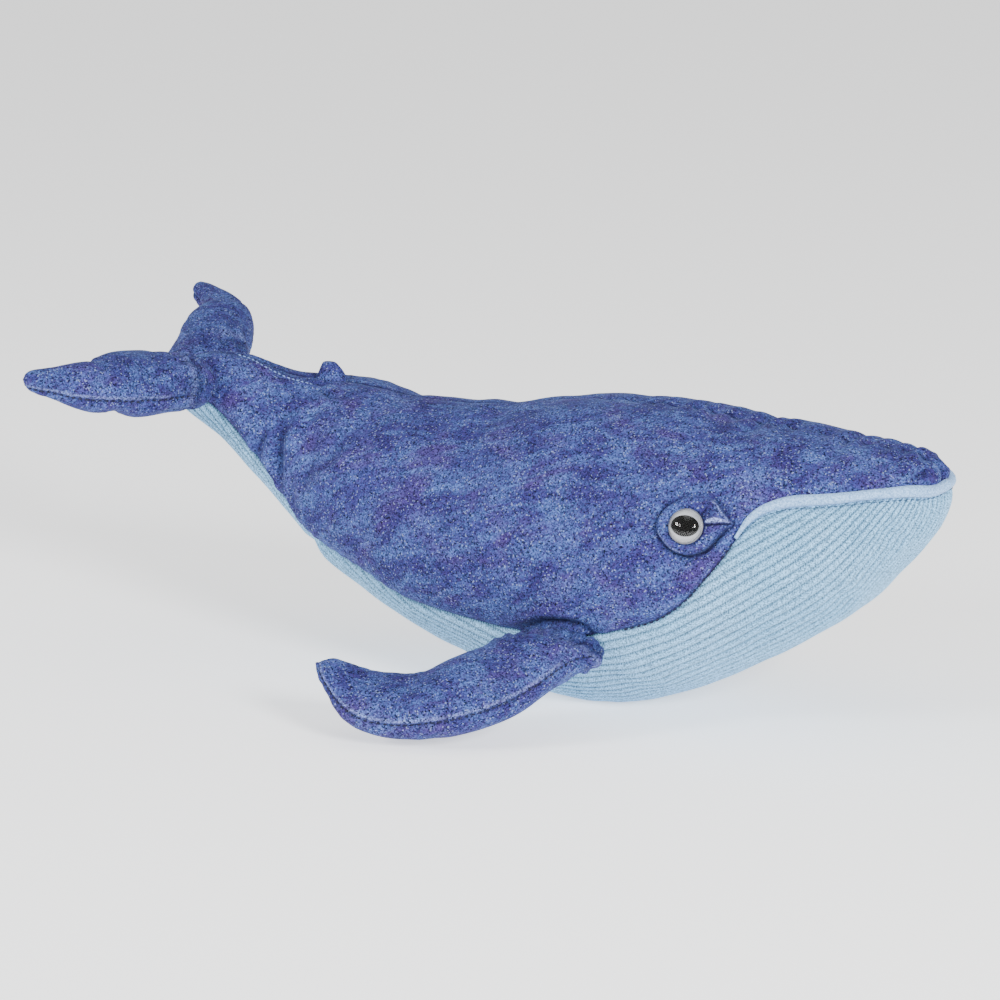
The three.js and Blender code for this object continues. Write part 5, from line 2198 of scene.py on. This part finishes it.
@dataclass
class Studio:
    """A pale floor, soft lights and a camera that stands where the photograph was taken from."""

    azimuth: float = 28.0
    elevation: float = 13.0
    distance: float = 1400 * MM
    aim_right: float = -47.45 * MM
    aim_up: float = 70.81 * MM
    millimetres_a_pixel: float = 0.365
    picture_pixels: int = 1000
    sensor_width: float = 36.0
    clip_end: float = 30.0
    floor_size: float = 8.0
    light_aim: float = 60 * MM
    world_strength: float = 0.48

    def camera(self) -> None:
        """Makes the camera."""
        azimuth = math.radians(self.azimuth)
        elevation = math.radians(self.elevation)
        right = Vector((math.cos(azimuth), math.sin(azimuth), 0))
        level = math.cos(elevation)
        look = Vector((-math.sin(azimuth) * level, math.cos(azimuth) * level, -math.sin(elevation)))
        up = right.cross(look)
        data = bpy.data.cameras.new("camera")
        data.sensor_width = self.sensor_width
        seen = self.millimetres_a_pixel * MM * self.picture_pixels
        data.lens = self.sensor_width * self.distance / seen
        data.clip_end = self.clip_end
        camera = linked("camera", data)
        camera.location = look * -self.distance + right * self.aim_right + up * self.aim_up
        camera.rotation_mode = "QUATERNION"
        camera.rotation_quaternion = look.to_track_quat("-Z", "Y")
        bpy.context.scene.camera = camera

    def light(
        self, name: str, azimuth: float, elevation: float, distance: float, size: float, power: float
    ) -> None:
        """Adds a soft round light that points at the toy.

        Args:
            name: its name.
            azimuth: degrees from the toy's right side towards its nose.
            elevation: degrees above level.
            distance: how far off it stands.
            size: its diameter.
            power: its power in watts.
        """
        data = bpy.data.lights.new(name, "AREA")
        data.shape = "DISK"
        data.size = size
        data.energy = power
        lamp = linked(name, data)
        turn, rise = math.radians(azimuth), math.radians(elevation)
        away = Vector((math.sin(turn) * math.cos(rise), -math.cos(turn) * math.cos(rise), math.sin(rise)))
        lamp.location = Vector((0, 0, self.light_aim)) + away * distance
        lamp.rotation_mode = "QUATERNION"
        lamp.rotation_quaternion = (-away).to_track_quat("-Z", "Y")

    def build(self) -> None:
        """Makes the floor, the lights and the camera."""
        mesh = bpy.data.meshes.new("floor")
        half = self.floor_size / 2
        corners = [(-half, -half, 0), (half, -half, 0), (half, half, 0), (-half, half, 0)]
        mesh.from_pydata(corners, [], [(0, 1, 2, 3)])
        mesh.materials.append(BackdropFinish().build())
        floor = linked("floor", mesh)
        world = bpy.data.worlds.new("studio")
        world.use_nodes = True
        sky = world.node_tree.nodes["Background"]
        sky.inputs["Color"].default_value = linear("#ffffff")
        sky.inputs["Strength"].default_value = self.world_strength
        bpy.context.scene.world = world
        self.light("key_light", 53, 23, 1.6, 0.42, 38)
        self.light("fill_light", -36, 23, 1.6, 0.42, 17)
        self.light("top_light", 0, 82, 1.7, 1.6, 6.5)
        self.camera()


def main() -> None:
    """Builds the whale and the studio."""
    logging.basicConfig(level=logging.INFO, format="%(name)s: %(message)s")
    finishes = Finishes()
    body = WhaleBody()
    Studio().build()
    eyes = [SafetyEye(body, side) for side in Side]
    body.build(finishes, eyes)
    MouthPiping(body).build(finishes)
    fins = [flipper(side) for side in Side] + [fluke(side) for side in Side]
    for fin in fins:
        fin.build(finishes)
    DorsalFin(body).build(finishes)
    for eye in eyes:
        eye.build(finishes)
    Seams(body, fins).build(finishes)


if __name__ == "__main__":
    main()
